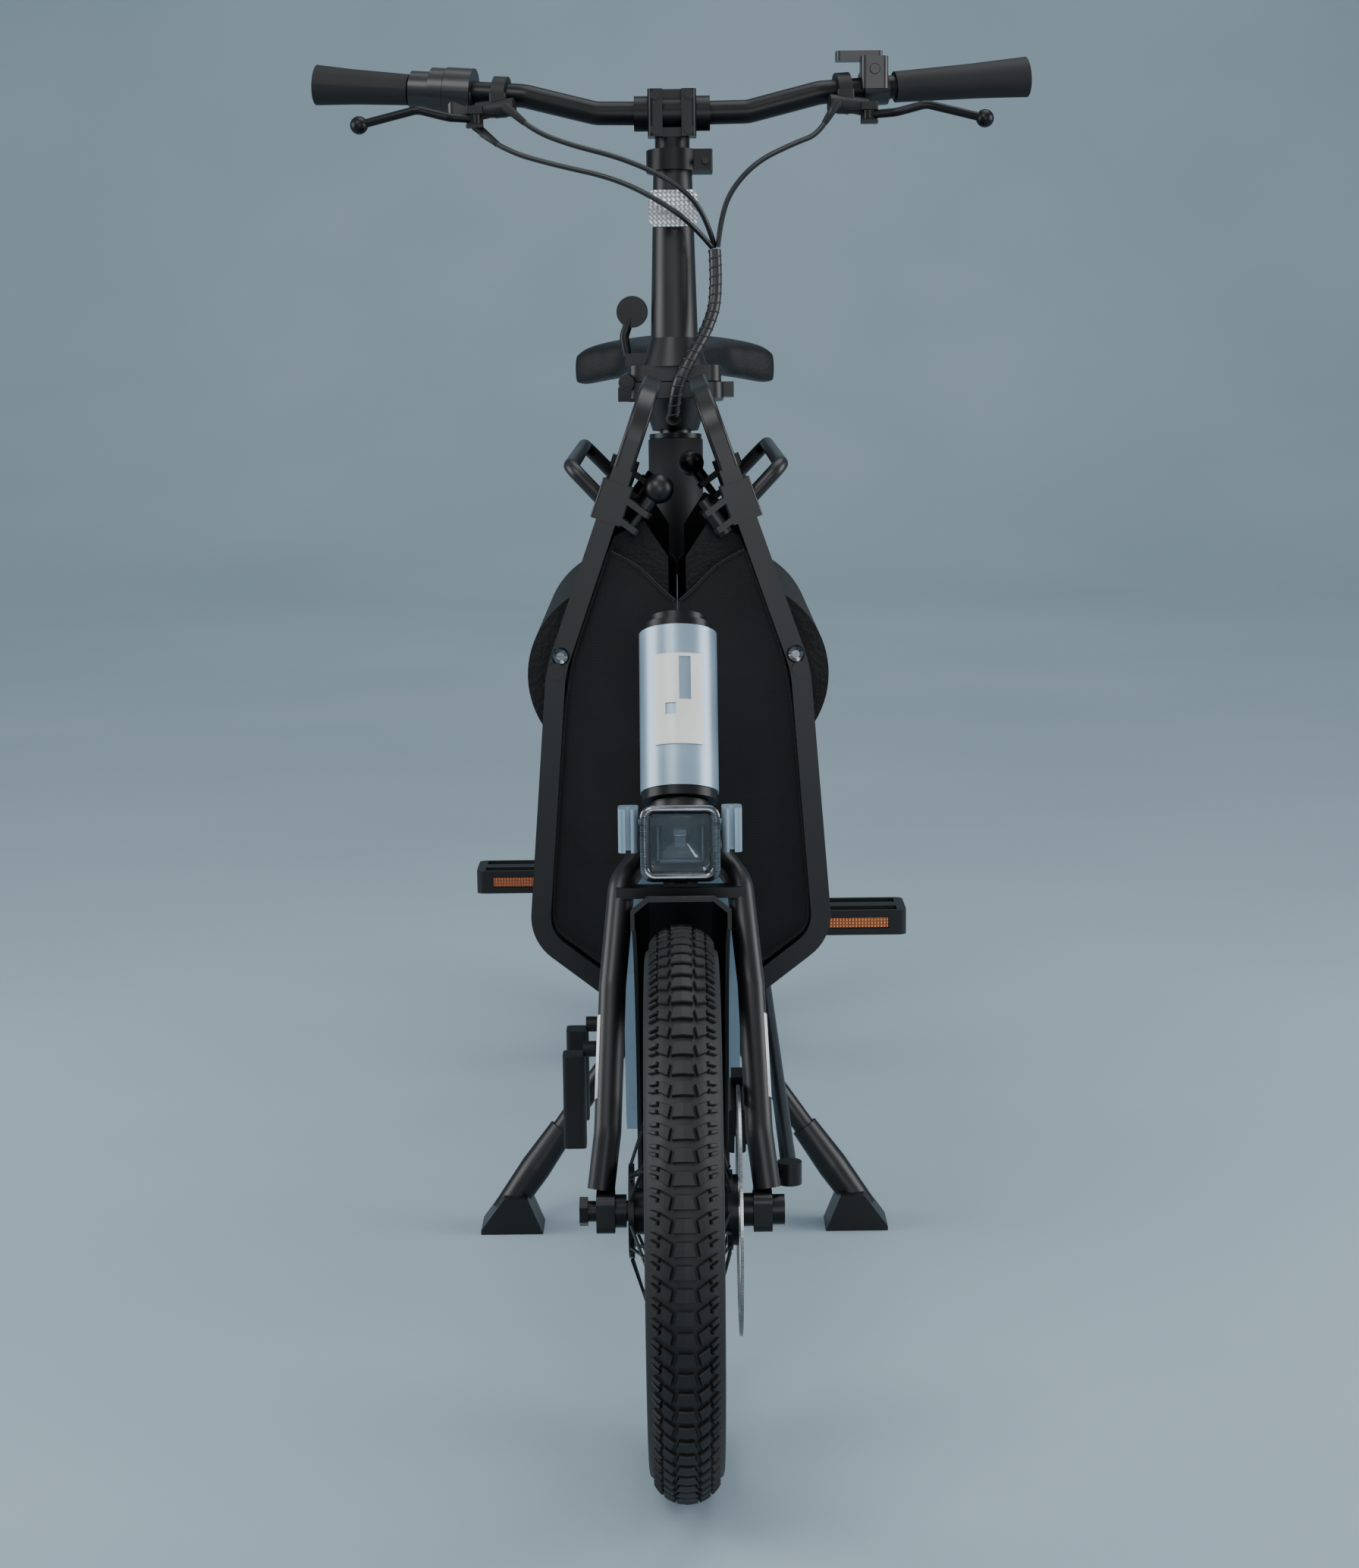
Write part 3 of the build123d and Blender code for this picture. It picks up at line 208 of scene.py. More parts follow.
def make_finishes(look):
    """Every finish on the bicycle, by what it is made of."""
    return {
        # Wet-painted aluminium with metal flake: pale blue, satin, with soft wide highlights.
        "paint": coated("painted aluminium", look.frame_dark, look.frame_light, 0.34, 0.7, 0.02,
                        metallic=0.45, coat=0.35, coat_rough=0.25),
        # Powder coat: deep black with a fine orange-peel surface and wide soft highlights.
        "powder": coated("powder coat", "#0A0A0B", "#0F1012", 0.38, 1.1, 0.05, specular=0.42),
        # Anodised aluminium: dark grey metal with a fine blasted grain.
        "anodised": coated("anodised aluminium", "#131416", "#1B1C1E", 0.34, 0.5, 0.02, metallic=0.6),
        # Glass-filled nylon: dull black with a spark-eroded mould texture.
        "nylon": coated("moulded nylon", "#0B0C0C", "#111213", 0.5, 0.6, 0.06, specular=0.38),
        # ABS of the lamp, the control unit and the shifter: a little glossier than the nylon.
        "abs": coated("ABS", "#0D0E0F", "#141517", 0.36, 0.9, 0.03, coat=0.15, coat_rough=0.2),
        # Natural and synthetic rubber with carbon black, dusted by use.
        "tyre": coated("tyre rubber", "#0F0F10", "#1B1A19", 0.56, 1.6, 0.12, specular=0.4),
        # Soft thermoplastic rubber of the grips: matt, with a fine moulded texture.
        "grip": coated("grip rubber", "#101113", "#17181A", 0.62, 1.0, 0.12, specular=0.35),
        # PVC jacket: smooth and a little glossy.
        "jacket": coated("PVC cable jacket", "#0D0E0F", "#15161A", 0.36, 2.0, 0.03),
        # Spiral wrap of polyethylene, duller than the jackets.
        "wrap": coated("polyethylene wrap", "#101112", "#1A1B1D", 0.5, 1.0, 0.04),
        # Polyurethane saddle cover with a pebbled grain.
        "cover": beads("polyurethane cover", "#070708", "#0D0D0E", 1.4, 0.48),
        # Expanded polypropylene: fused beads.
        "foam": beads("expanded polypropylene", "#060707", "#0E0F10", 3.4, 0.7),
        # Plain-woven polyester, drawn at 1.2 mm because its real 0.4 mm thread is too fine to show.
        "cloth": woven("woven polyester", look.cloth_dark, look.cloth_light, 1.2),
        # Stainless steel of the front brake disc.
        "steel": brushed("stainless steel", "#7A7C80", "#B4B7BA", 0.3),
        # Dark chrome of the lamp bezel and the bolts.
        "dark_chrome": brushed("dark chrome", "#4B4E52", "#84888D", 0.18),
        # Blackened chain steel.
        "chain": brushed("oiled chain steel", "#2B2B2C", "#4A4A4B", 0.4),
        # Vacuum-plated bowl and module inside the lamp.
        "plated": brushed("plated reflector", "#83878B", "#B9BDC1", 0.14),
        # Enamelled aluminium badge, off-white.
        "badge": coated("enamelled badge", "#DAD8D2", "#EBEAE6", 0.4, 1.5, 0.02, coat=0.4,
                        coat_rough=0.1),
        # Retro-reflective tape: white with a grain of glass beads.
        "tape": coated("reflective tape", "#D5D8DA", "#F1F3F4", 0.35, 0.8, 0.03),
        "lens": glass("polycarbonate lens", "#B9BEC2", 0.01),
        "clear": prisms("clear reflector", "#8F9498", "#F4F7F9", 4.2, 0.15),
        "amber": prisms("amber reflector", "#8A3B02", "#F28A14", 3.0, 0.1),
    }


# The nodes of the frame by their finish; every other node is powder coated.
CAD_FINISHES = {
    "paint": ("front_frame", "rear_frame", "cable_guides"),
    "badge": ("head_badge",),
    "anodised": ("front_hub", "rear_hub", "front_rim", "rear_rim", "stem", "stem_faceplate",
                 "brake_lever_left", "brake_lever_right", "crankset", "seatpost", "seat_clamp",
                 "seat_clamp_lever", "collar_lever", "latch_lever", "post_clamp", "handlebar",
                 "headset_bearings", "front_axle"),
    "nylon": ("motor", "front_fender", "rear_fender", "pedal_left", "pedal_right", "side_pads", "battery",
              "front_caliper", "rear_caliper", "brake_bodies"),
    "abs": ("headlight_body", "control_housings", "power_button", "twist_shifter"),
    "grip": ("grips",),
    "foam": ("basket_shell_left", "basket_shell_right"),
    "steel": ("front_rotor",),
    "chain": ("chain",),
    "lens": ("headlight_lens",),
    "clear": ("reflector",),
}
# The material slot of a piece by its finish.
FINISHES = {}


# ================= Pieces =================
def piece(name, mesh, finish, body=None, smooth=True):
    """An object at the origin with one finish, that rides on a body."""
    if isinstance(mesh, bmesh.types.BMesh):
        data = bpy.data.meshes.new(name)
        mesh.to_mesh(data)
        mesh.free()
        mesh = data
    if smooth:
        mesh.polygons.foreach_set("use_smooth", [True] * len(mesh.polygons))
    made = bpy.data.objects.new(name, mesh)
    mesh.materials.clear()
    mesh.materials.append(FINISHES[finish])
    bpy.context.scene.collection.objects.link(made)
    if body:
        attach(made, body)
    return made


def edge_bevel(made, width_mm):
    soft = made.modifiers.new("Bevel", "BEVEL")
    soft.width = width_mm / 1000
    soft.segments = 2
    soft.limit_method = "ANGLE"


def plate(bm, size, centre, turn=None):
    """A box of that size in millimetres, added to the mesh."""
    made = bmesh.ops.create_cube(bm, size=1)["verts"]
    bmesh.ops.scale(bm, vec=Vector(size) / 1000, verts=made)
    if turn is not None:
        bmesh.ops.transform(bm, matrix=turn, verts=made)
    bmesh.ops.translate(bm, vec=m(*centre), verts=made)


# ----------------- Cords -----------------
# Points of a route: x, distance behind the front axle and z, in millimetres.
HARNESS = [(-2, 728.5, 753), (-1, 723, 764), (3, 720, 784), (15, 725, 806), (31, 738, 832), (41, 750, 862),
           (39, 757, 906)]
HOSES = {
    "brake_hose_right": [(-149.5, 747, 1034), (-132, 742, 1018), (-98, 740, 1004), (-44, 738, 990),
                         (6, 738, 966), (31, 748, 938), (39, 760.2, 908.4)],
    "shift_cable": [(-180, 772, 1016), (-158, 762, 1000), (-112, 752, 986), (-52, 740, 972),
                    (-4, 728, 946), (23, 740, 924), (36.2, 755.4, 908.4)],
    "brake_hose_left": [(149.5, 747, 1034), (140, 744, 1012), (112, 744, 1002), (78, 746, 986),
                        (54, 750, 960), (45, 753, 934), (41.8, 755.4, 908.4)],
}
BOOTS = {
    # Each boot with its cord and the point where it leaves the control.
    "brake_boot_right": ("brake_hose_right", (-156, 750.5, 1040)),
    "shift_boot": ("shift_cable", (-186, 778, 1024)),
    "brake_boot_left": ("brake_hose_left", (155.5, 750.5, 1041)),
}
HARNESS_THICKNESS = 11.6
HOSE_THICKNESS = 5
# The wrap's wire and the helix it follows, in metres.
WRAP_WIRE = 0.0009
WRAP_RADIUS = 0.0056
WRAP_PITCH = 0.0088
WRAP_POINTS_PER_TURN = 14
# The black cover on the leaning steering column, painted shade over its top: its height range and the
# column's base, in millimetres.
SHADE_COVER_BOTTOM, SHADE_COVER_TOP = 600, 728
SHADE_COVER_RADIUS = 50 / 2000 + 0.001
COLUMN_BEHIND, COLUMN_BASE = 711.5, 250
COLUMN_LEAN = 0.1051


def route_curve(name, route, thickness):
    """A smooth curve on the route's points, as thick as it is told."""
    curve = bpy.data.curves.new(name, "CURVE")
    curve.dimensions = "3D"
    curve.resolution_u = 12
    curve.bevel_depth = thickness / 2000
    curve.bevel_resolution = 5
    curve.use_fill_caps = True
    spline = curve.splines.new("NURBS")
    spline.points.add(len(route) - 1)
    for point, (x, behind, z) in zip(spline.points, route):
        point.co = (*m(x, back(behind), z), 1)
    spline.order_u = 3
    spline.use_endpoint_u = True
    return curve


def as_mesh(curve):
    """The mesh that a curve gives; the object that held the curve is removed."""
    holder = bpy.data.objects.new("route", curve)
    bpy.context.scene.collection.objects.link(holder)
    bpy.context.view_layer.update()
    shaped = holder.evaluated_get(bpy.context.evaluated_depsgraph_get())
    mesh = bpy.data.meshes.new_from_object(shaped)
    bpy.data.objects.remove(holder)
    return mesh


def line_of(route):
    """The points of the smooth line through a route."""
    return [v.co.copy() for v in as_mesh(route_curve("line", route, 0)).vertices]


def spiral(line, radius, pitch):
    """Points on a helix round a line, in metres."""
    points, travelled = [], 0.0
    for a, b in zip(line, line[1:]):
        along = (b - a).normalized()
        side = along.cross(Vector((0, 1, 0))).normalized()
        other = along.cross(side)
        steps = max(2, int((b - a).length / pitch * WRAP_POINTS_PER_TURN))
        for i in range(steps):
            at = a.lerp(b, i / steps)
            angle = (travelled + (b - a).length * i / steps) / pitch * tau
            points.append(at + (side * cos(angle) + other * sin(angle)) * radius)
        travelled += (b - a).length
    return points


def make_cords():
    line = line_of(HARNESS)
    harness = piece("harness", as_mesh(route_curve("harness", HARNESS, HARNESS_THICKNESS)), "jacket")
    coil = bpy.data.curves.new("wrap", "CURVE")
    coil.dimensions = "3D"
    coil.bevel_depth = WRAP_WIRE
    coil.bevel_resolution = 2
    turns = spiral(line, WRAP_RADIUS, WRAP_PITCH)
    spline = coil.splines.new("POLY")
    spline.points.add(len(turns) - 1)
    for point, at in zip(spline.points, turns):
        point.co = (*at, 1)
    wrap = piece("harness_wrap", as_mesh(coil), "wrap")
    for made in (harness, wrap):
        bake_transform(made)
    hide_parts("cable_harness")
    for name, route in HOSES.items():
        line = line_of(route)
        hose = piece(f"{name}_jacket", as_mesh(route_curve(name, route, HOSE_THICKNESS)), "jacket")
        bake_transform(hose)
        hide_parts(name)


def make_boots():
    """Tapered rubber boots where the hoses and the cable leave the controls."""
    for name, (cord, (x, behind, z)) in BOOTS.items():
        top, low = m(x, back(behind), z), line_of(HOSES[cord])[5]
        bm = bmesh.new()
        bmesh.ops.create_cone(bm, cap_ends=True, segments=24, radius1=0.0046, radius2=0.0029,
                              depth=(low - top).length)
        bmesh.ops.rotate(bm, cent=(0, 0, 0), verts=bm.verts,
                         matrix=Vector((0, 0, 1)).rotation_difference(low - top).to_matrix())
        bmesh.ops.translate(bm, vec=top.lerp(low, 0.5), verts=bm.verts)
        edge_bevel(piece(name, bm, "grip", "bars"), 0.6)


def make_shade_cover():
    """A thin black shell with the grip's finish round the top of the tube that holds the steering column:
    painted shade, standing in for the shade and the dark liner on the part of the tube seen between the
    basket's halves.
    """
    low, high = (m(0, back(COLUMN_BEHIND + (z - COLUMN_BASE) * COLUMN_LEAN), z)
                 for z in (SHADE_COVER_BOTTOM, SHADE_COVER_TOP))
    bm = bmesh.new()
    bmesh.ops.create_cone(bm, cap_ends=False, segments=64, radius1=SHADE_COVER_RADIUS, radius2=SHADE_COVER_RADIUS,
                          depth=(high - low).length)
    bmesh.ops.rotate(bm, cent=(0, 0, 0), verts=bm.verts,
                     matrix=Vector((0, 0, 1)).rotation_difference(high - low).to_matrix())
    bmesh.ops.translate(bm, vec=low.lerp(high, 0.5), verts=bm.verts)
    # A black shell that paints shade over the column's top, where the tube lies in shade behind dark liner.
    shade_cover = piece("column_shade_cover", bm, "grip", "frame")
    wall = shade_cover.modifiers.new("Solidify", "SOLIDIFY")
    wall.thickness = 0.0008


# ----------------- Tyres -----------------
TREAD = {
    # Across and along one pitch, in millimetres; the pattern points the way the wheel rolls.
    "centre": [(-8.2, 2.2), (8.2, 2.2), (5.6, 12.4), (-5.6, 12.4)],
    "inner": [(10.8, 2.0), (18.4, 7.2), (17.2, 15.2), (8.6, 10.8)],
    "outer_near": [(20.8, 7.6), (29.3, 10.4), (28.8, 13.0), (20.2, 10.4)],
    "outer_far": [(19.8, 13.2), (28.5, 15.6), (28.0, 18.4), (19.2, 16.4)],
}
TREAD_UNIT = 1.4
TYRE_SECTION = 27.0
# The carcass is drawn this far round its section to each side, and swells out to the tread's
# full height past the shoulder, over a few degrees.
CARCASS_REACH, CARCASS_STEPS = 150, 36
SHOULDER, SHOULDER_WIDTH = 64, 10
SIDEWALL_INSET = 0.15


def tread_block(bm, outline, mirror):
    """A flat outline raised to a bevelled block, in millimetres across, along and up."""
    corners = [bm.verts.new((x * mirror, y, -TREAD_UNIT)) for x, y in outline]
    face = bm.faces.new(corners if mirror > 0 else corners[::-1])
    raised = bmesh.ops.extrude_face_region(bm, geom=[face])["geom"]
    top = [g for g in raised if isinstance(g, bmesh.types.BMVert)]
    bmesh.ops.translate(bm, vec=(0, 0, TREAD_UNIT), verts=top)
    rim = [e for e in bm.edges if all(v in top for v in e.verts)]
    bmesh.ops.bevel(bm, geom=rim, offset=0.5, segments=1, affect="EDGES", profile=0.5, material=-1)


def make_tyre(name, node, body, axle, radius, count, depth):
    section, carcass = TYRE_SECTION, TYRE_SECTION - depth
    crown = radius - section
    bm = bmesh.new()
    tread_block(bm, TREAD["centre"], 1)
    for block in ("inner", "outer_near", "outer_far"):
        for mirror in (1, -1):
            tread_block(bm, TREAD[block], mirror)
    long_edges = [e for e in bm.edges if e.calc_length() > 4.5]
    bmesh.ops.subdivide_edges(bm, edges=long_edges, cuts=1, use_grid_fill=True)
    for v in bm.verts:
        across, along, up = v.co
        height, angle, turn = section + up * depth / TREAD_UNIT, across / section, along / radius
        reach = crown + height * cos(angle)
        v.co = Vector((height * sin(angle), reach * sin(turn), reach * cos(turn))) / 1000
    start_geom = bm.verts[:] + bm.edges[:] + bm.faces[:]
    for i in range(1, count):
        copy = bmesh.ops.duplicate(bm, geom=start_geom)["geom"]
        turned = [g for g in copy if isinstance(g, bmesh.types.BMVert)]
        bmesh.ops.rotate(bm, cent=(0, 0, 0), matrix=Matrix.Rotation(-tau * i / count, 3, "X"),
                         verts=turned)
    bmesh.ops.translate(bm, vec=m(*axle), verts=bm.verts)
    piece(f"{name}_tread", bm, "tyre", body, smooth=False)

    bm = bmesh.new()
    ring = []
    for i in range(CARCASS_STEPS + 1):
        angle = radians(-CARCASS_REACH + 2 * CARCASS_REACH / CARCASS_STEPS * i)
        swell = min(1, max(0, (abs(angle) - radians(SHOULDER)) / radians(SHOULDER_WIDTH)))
        height = carcass + (section - SIDEWALL_INSET - carcass) * swell
        ring.append(bm.verts.new(m(height * sin(angle), 0, crown + height * cos(angle))))
    profile = [bm.edges.new(pair) for pair in zip(ring, ring[1:])]
    bmesh.ops.spin(bm, geom=ring + profile, cent=(0, 0, 0), axis=(1, 0, 0), angle=tau, steps=128,
                   use_merge=True)
    bmesh.ops.recalc_face_normals(bm, faces=bm.faces)
    if sum(f.normal.dot(Vector((0, *f.calc_center_median().yz))) for f in bm.faces
           if abs(f.calc_center_median().x) < 0.01) < 0:
        bmesh.ops.reverse_faces(bm, faces=bm.faces)
    bmesh.ops.translate(bm, vec=m(*axle), verts=bm.verts)
    shell = piece(f"{name}_carcass", bm, "tyre", body)
    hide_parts(node)


# ----------------- Basket cloth -----------------
# Outlines of half an end panel, x and z in millimetres.
PANEL_LOW = [(0.6, 279), (94, 347.5), (102.6, 356)]
PANEL_HIGH = [(0.6, 620), (12, 628), (24, 641), (36, 651), (54, 661)]
PANEL_TUBE = [(104.8, 367), (89.2, 563)]
PIPING = [(14, 285), (58, 319), (92, 344.5), (103, 354), (104.6, 374), (97, 470), (89, 562), (73, 610),
          (55, 660)]
HEM = [(54, 661), (36, 652), (24, 642), (12, 629), (2, 621)]


def along(points, share):
    """The point that far along a run of points."""
    steps = [(Vector(b) - Vector(a)).length for a, b in zip(points, points[1:])]
    left = share * sum(steps)
    for (a, b), step in zip(zip(points, points[1:]), steps):
        if left <= step or b is points[-1]:
            return Vector(a).lerp(Vector(b), min(1, left / step))
        left -= step


def make_panel(side, place, name, bulge):
    """One half of an end panel, from the crease in the middle to the basket's tube."""
    low, high = PANEL_LOW, PANEL_HIGH
    inner = [low[0], high[0]]
    outer = [low[-1], *PANEL_TUBE, high[-1]]
    bm = bmesh.new()
    bmesh.ops.create_grid(bm, x_segments=26, y_segments=64, size=0.5)
    for v in bm.verts:
        u, w = v.co.x + 0.5, v.co.y + 0.5
        flat = (along(low, u) * (1 - w) + along(high, u) * w
                + along(inner, w) * (1 - u) + along(outer, w) * u
                - (Vector(low[0]) * (1 - u) * (1 - w) + Vector(low[-1]) * u * (1 - w)
                   + Vector(high[0]) * (1 - u) * w + Vector(high[-1]) * u * w))
        soft = sin(pi * min(1, max(0, u))) * sin(pi * min(1, max(0, w))) ** 0.6
        folds = 0.7 * sin(9 * u + 5 * w) * sin(7 * w + 2 * u) + 0.5 * sin(23 * w - 9 * u)
        push = bulge * soft * (1.0 + 0.28 * folds) + bulge * 0.35 * max(0, 1 - u * 5) * sin(pi * w)
        v.co = m(side * flat.x, place - push if place < back(450) else place + push, flat.y)
    bmesh.ops.recalc_face_normals(bm, faces=bm.faces)
    area = sum(f.calc_area() for f in bm.faces)
    panel = piece(name, bm, "cloth")
    wall = panel.modifiers.new("Solidify", "SOLIDIFY")
    wall.thickness = 0.0014
    wall.offset = 0
    return panel, area


def make_fabric(bulge):
    for word, side in (("right", -1), ("left", 1)):
        for end, place in (("front", back(290)), ("rear", back(678))):
            panel, area = make_panel(side, place, f"cloth_{end}_{word}", bulge)
            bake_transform(panel)
        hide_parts(f"basket_fabric_{word}")
        for end, place in (("front", back(289)), ("rear", back(679))):
            edge = [(side * x, place - FRONT_AXLE_Y, z) for x, z in PIPING]
            piece(f"piping_{end}_{word}", as_mesh(route_curve("piping", edge, 3.2)), "foam",
                  f"basket_{word}")
            hem = [(side * x, place - FRONT_AXLE_Y, z) for x, z in HEM]
            binding = piece(f"binding_{end}_{word}", as_mesh(route_curve("binding", hem, 2.6)), "cloth")
            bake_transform(binding)


# ----------------- Saddle -----------------
def make_saddle():
    """The saddle's own shape, softened and domed, with a hollow along its middle."""
    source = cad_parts["saddle"]
    bm = bmesh.new()
    bm.from_mesh(source.data)
    bmesh.ops.remove_doubles(bm, verts=bm.verts, dist=0.00005)
    saddle = piece("saddle_pad", bm, "cover")
    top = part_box("saddle")[1][2]
    remesh = saddle.modifiers.new("Remesh", "REMESH")
    remesh.mode = "VOXEL"
    remesh.voxel_size = 0.005
    bpy.context.view_layer.update()
    shaped = saddle.evaluated_get(bpy.context.evaluated_depsgraph_get())
    dense = bpy.data.meshes.new_from_object(shaped)
    saddle.modifiers.clear()
    bm = bmesh.new()
    bm.from_mesh(dense)
    for _ in range(14):
        bmesh.ops.smooth_vert(bm, verts=bm.verts, factor=0.5, use_axis_x=True, use_axis_y=True,
                              use_axis_z=True)
    for v in bm.verts:
        near_top = max(0.0, min(1.0, (v.co.z - top + 0.02) / 0.012))
        hollow = max(0.0, 1 - abs(v.co.x) / 0.014) * near_top
        v.co.z -= 0.004 * hollow + 0.016 * (abs(v.co.x) / 0.11) ** 1.8
    bm.to_mesh(saddle.data)
    bm.free()
    saddle.data.polygons.foreach_set("use_smooth", [True] * len(saddle.data.polygons))
    fine = saddle.modifiers.new("Subdivision", "SUBSURF")
    fine.levels = fine.render_levels = 1
    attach(saddle, "seat")
    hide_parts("saddle")


# ----------------- Lamp -----------------
LAMP_CENTRE = (0, 464)
LAMP_FACE = 69
BOWL_MOUTH = 76.2
# Width, height, corner radius and place behind the lamp's face, outside to inside.
BEZEL_LOOPS = ((59, 57, 9, 1), (58.4, 56.4, 9, -1.6), (49, 47, 6, -2.0), (46, 44, 5, 1))
# Size, depth behind the mouth and lift of each ring of the bowl.
BOWL_RINGS = ((43, 0, 0), (36, 4, 1), (27, 8, 2), (17, 12, 2.5), (9, 15, 2.5))


def rounded_loop(bm, width, height, corner, y, centre):
    """The edges of a rounded rectangle that faces forward, in millimetres."""
    before = set(bm.edges)
    corners = [bm.verts.new(m(centre[0] + sx * width / 2, y, centre[1] + sz * height / 2))
               for sx, sz in ((-1, -1), (1, -1), (1, 1), (-1, 1))]
    bm.faces.new(corners)
    bmesh.ops.bevel(bm, geom=corners, offset=corner / 1000, segments=6, affect="VERTICES", profile=0.5,
                    material=-1)
    edges = [e for e in bm.edges if e not in before]
    faces = {f for e in edges for f in e.link_faces}
    bmesh.ops.delete(bm, geom=list(faces), context="FACES_ONLY")
    return edges


def make_lamp():
    """The bezel, the bowl behind the lens and the small module in the bowl."""
    bm = bmesh.new()
    rings = [rounded_loop(bm, width, height, corner, back(LAMP_FACE) + depth, LAMP_CENTRE)
             for width, height, corner, depth in BEZEL_LOOPS]
    for near, far in zip(rings, rings[1:]):
        bmesh.ops.bridge_loops(bm, edges=near + far)
    bmesh.ops.recalc_face_normals(bm, faces=bm.faces)
    if sum(f.normal.y for f in bm.faces) > 0:
        bmesh.ops.reverse_faces(bm, faces=bm.faces)
    piece("lamp_bezel", bm, "dark_chrome", "fork")

    bm = bmesh.new()
    rings = [rounded_loop(bm, size, size, size * 0.12, back(BOWL_MOUTH) + depth,
                          (LAMP_CENTRE[0], LAMP_CENTRE[1] + lift))
             for size, depth, lift in BOWL_RINGS]
    for near, far in zip(rings, rings[1:]):
        bmesh.ops.bridge_loops(bm, edges=near + far)
    bmesh.ops.edgeloop_fill(bm, edges=rings[-1])
    bmesh.ops.recalc_face_normals(bm, faces=bm.faces)
    if sum(f.normal.y for f in bm.faces) > 0:
        bmesh.ops.reverse_faces(bm, faces=bm.faces)
    piece("lamp_bowl", bm, "plated", "fork", smooth=False)

    bm = bmesh.new()
    plate(bm, (30, 9, 3), (0, back(80), 450))
    plate(bm, (9, 3, 9), (0, back(90), 462))
    for side in (-1, 1):
        plate(bm, (2, 12, 26), (side * 15, back(82), 463), Matrix.Rotation(radians(side * 16), 4, "Z"))
    edge_bevel(piece("lamp_module", bm, "plated", "fork", smooth=False), 0.5)


# ----------------- Reflectors and small parts -----------------
# Each pedal with its side, its place behind the front axle and its height, in millimetres.
PEDALS = (("left", 1, 722.2, 269.7), ("right", -1, 1017.8, 254.3))
PEDAL_X = 168
TAPE_RADIUS = 0.01035
# The tape covers the part of the round leg that lies this far out from its axis.
TAPE_EDGE = 0.0084


def make_reflectors():
    """Amber reflectors on the pedals and reflective tape on the fork's legs."""
    for word, side, behind, z in PEDALS:
        bm = bmesh.new()
        for step in (-1, 1):
            plate(bm, (60.6, 1.8, 9.8), (side * PEDAL_X, back(behind) + step * 29.8, z))
        pair = piece(f"pedal_reflectors_{word}", bm, "amber", f"pedal_{word}_body", smooth=False)
        edge_bevel(pair, 0.4)
    for word, side in (("left", 1), ("right", -1)):
        bm = bmesh.new()
        bmesh.ops.create_cone(bm, cap_ends=False, segments=48, radius1=TAPE_RADIUS, radius2=TAPE_RADIUS,
                              depth=0.062)
        gone = [f for f in bm.faces if f.calc_center_median().x * side < TAPE_EDGE]
        bmesh.ops.delete(bm, geom=gone, context="FACES")
        low, high = m(side * 55, back(14), 262), m(side * 51, back(62), 360)
        turn = Vector((0, 0, 1)).rotation_difference(high - low).to_matrix()
        bmesh.ops.rotate(bm, cent=(0, 0, 0), matrix=turn, verts=bm.verts)
        bmesh.ops.translate(bm, vec=low.lerp(high, 0.5), verts=bm.verts)
        tape = piece(f"fork_tape_{word}", bm, "tape", "fork")
        wall = tape.modifiers.new("Solidify", "SOLIDIFY")
        wall.thickness = 0.0003


def bolt(bm, centre, radius, height, turn):
    """A button-head bolt with a round socket, facing +Z before it is turned."""
    head = bmesh.ops.create_cone(bm, cap_ends=True, segments=24, radius1=radius / 1000,
                                 radius2=radius * 0.78 / 1000, depth=height / 1000)["verts"]
    top = max((f for v in head for f in v.link_faces), key=lambda f: f.calc_center_median().z)
    bmesh.ops.inset_region(bm, faces=[top], thickness=radius * 0.34 / 1000)
    bmesh.ops.translate(bm, vec=(0, 0, -height * 0.5 / 1000), verts=top.verts)
    bmesh.ops.transform(bm, matrix=turn, verts=bm.verts)
    bmesh.ops.translate(bm, vec=m(*centre), verts=bm.verts)


def make_bolts():
    forward = Matrix.Rotation(radians(90), 4, "X")
    for word, side in (("left", 1), ("right", -1)):
        bm = bmesh.new()
        bolt(bm, (side * 94, back(280.6), 578), 7.4, 3.4, forward)
        piece(f"basket_bolt_{word}", bm, "dark_chrome", f"basket_{word}", smooth=False)


# ================= Stage =================
# Each light with its place, the point it looks at, its size in metres and its power in watts.
LIGHTS = (
    ("key", (-1.2, -2.6, 3.2), (0, 0, 0.5), 1.6, 46),
    ("top", (0.6, 0.2, 3.4), (0, 0, 0.6), 2.2, 40),
    ("wall", (0, 3.6, 5.0), (0, 9, 3.0), 3.5, 120),
    ("left", (-2.6, -0.4, 1.2), (0, 0, 0.6), 1.6, 42),
    ("right", (2.6, -0.4, 1.2), (0, 0, 0.6), 1.6, 46),
    ("front", (0.5, -3.6, 1.0), (0, 0, 0.4), 1.6, 26),
)
CAMERA_Y, CAMERA_HEIGHT = -2.699, 0.850
# The backdrop, in metres: half the floor's width, where it starts to rise, the radius of the
# curve and the top of the wall.
FLOOR_HALF, RISE_START, RISE_RADIUS, WALL_TOP = 30, 6, 3, 12


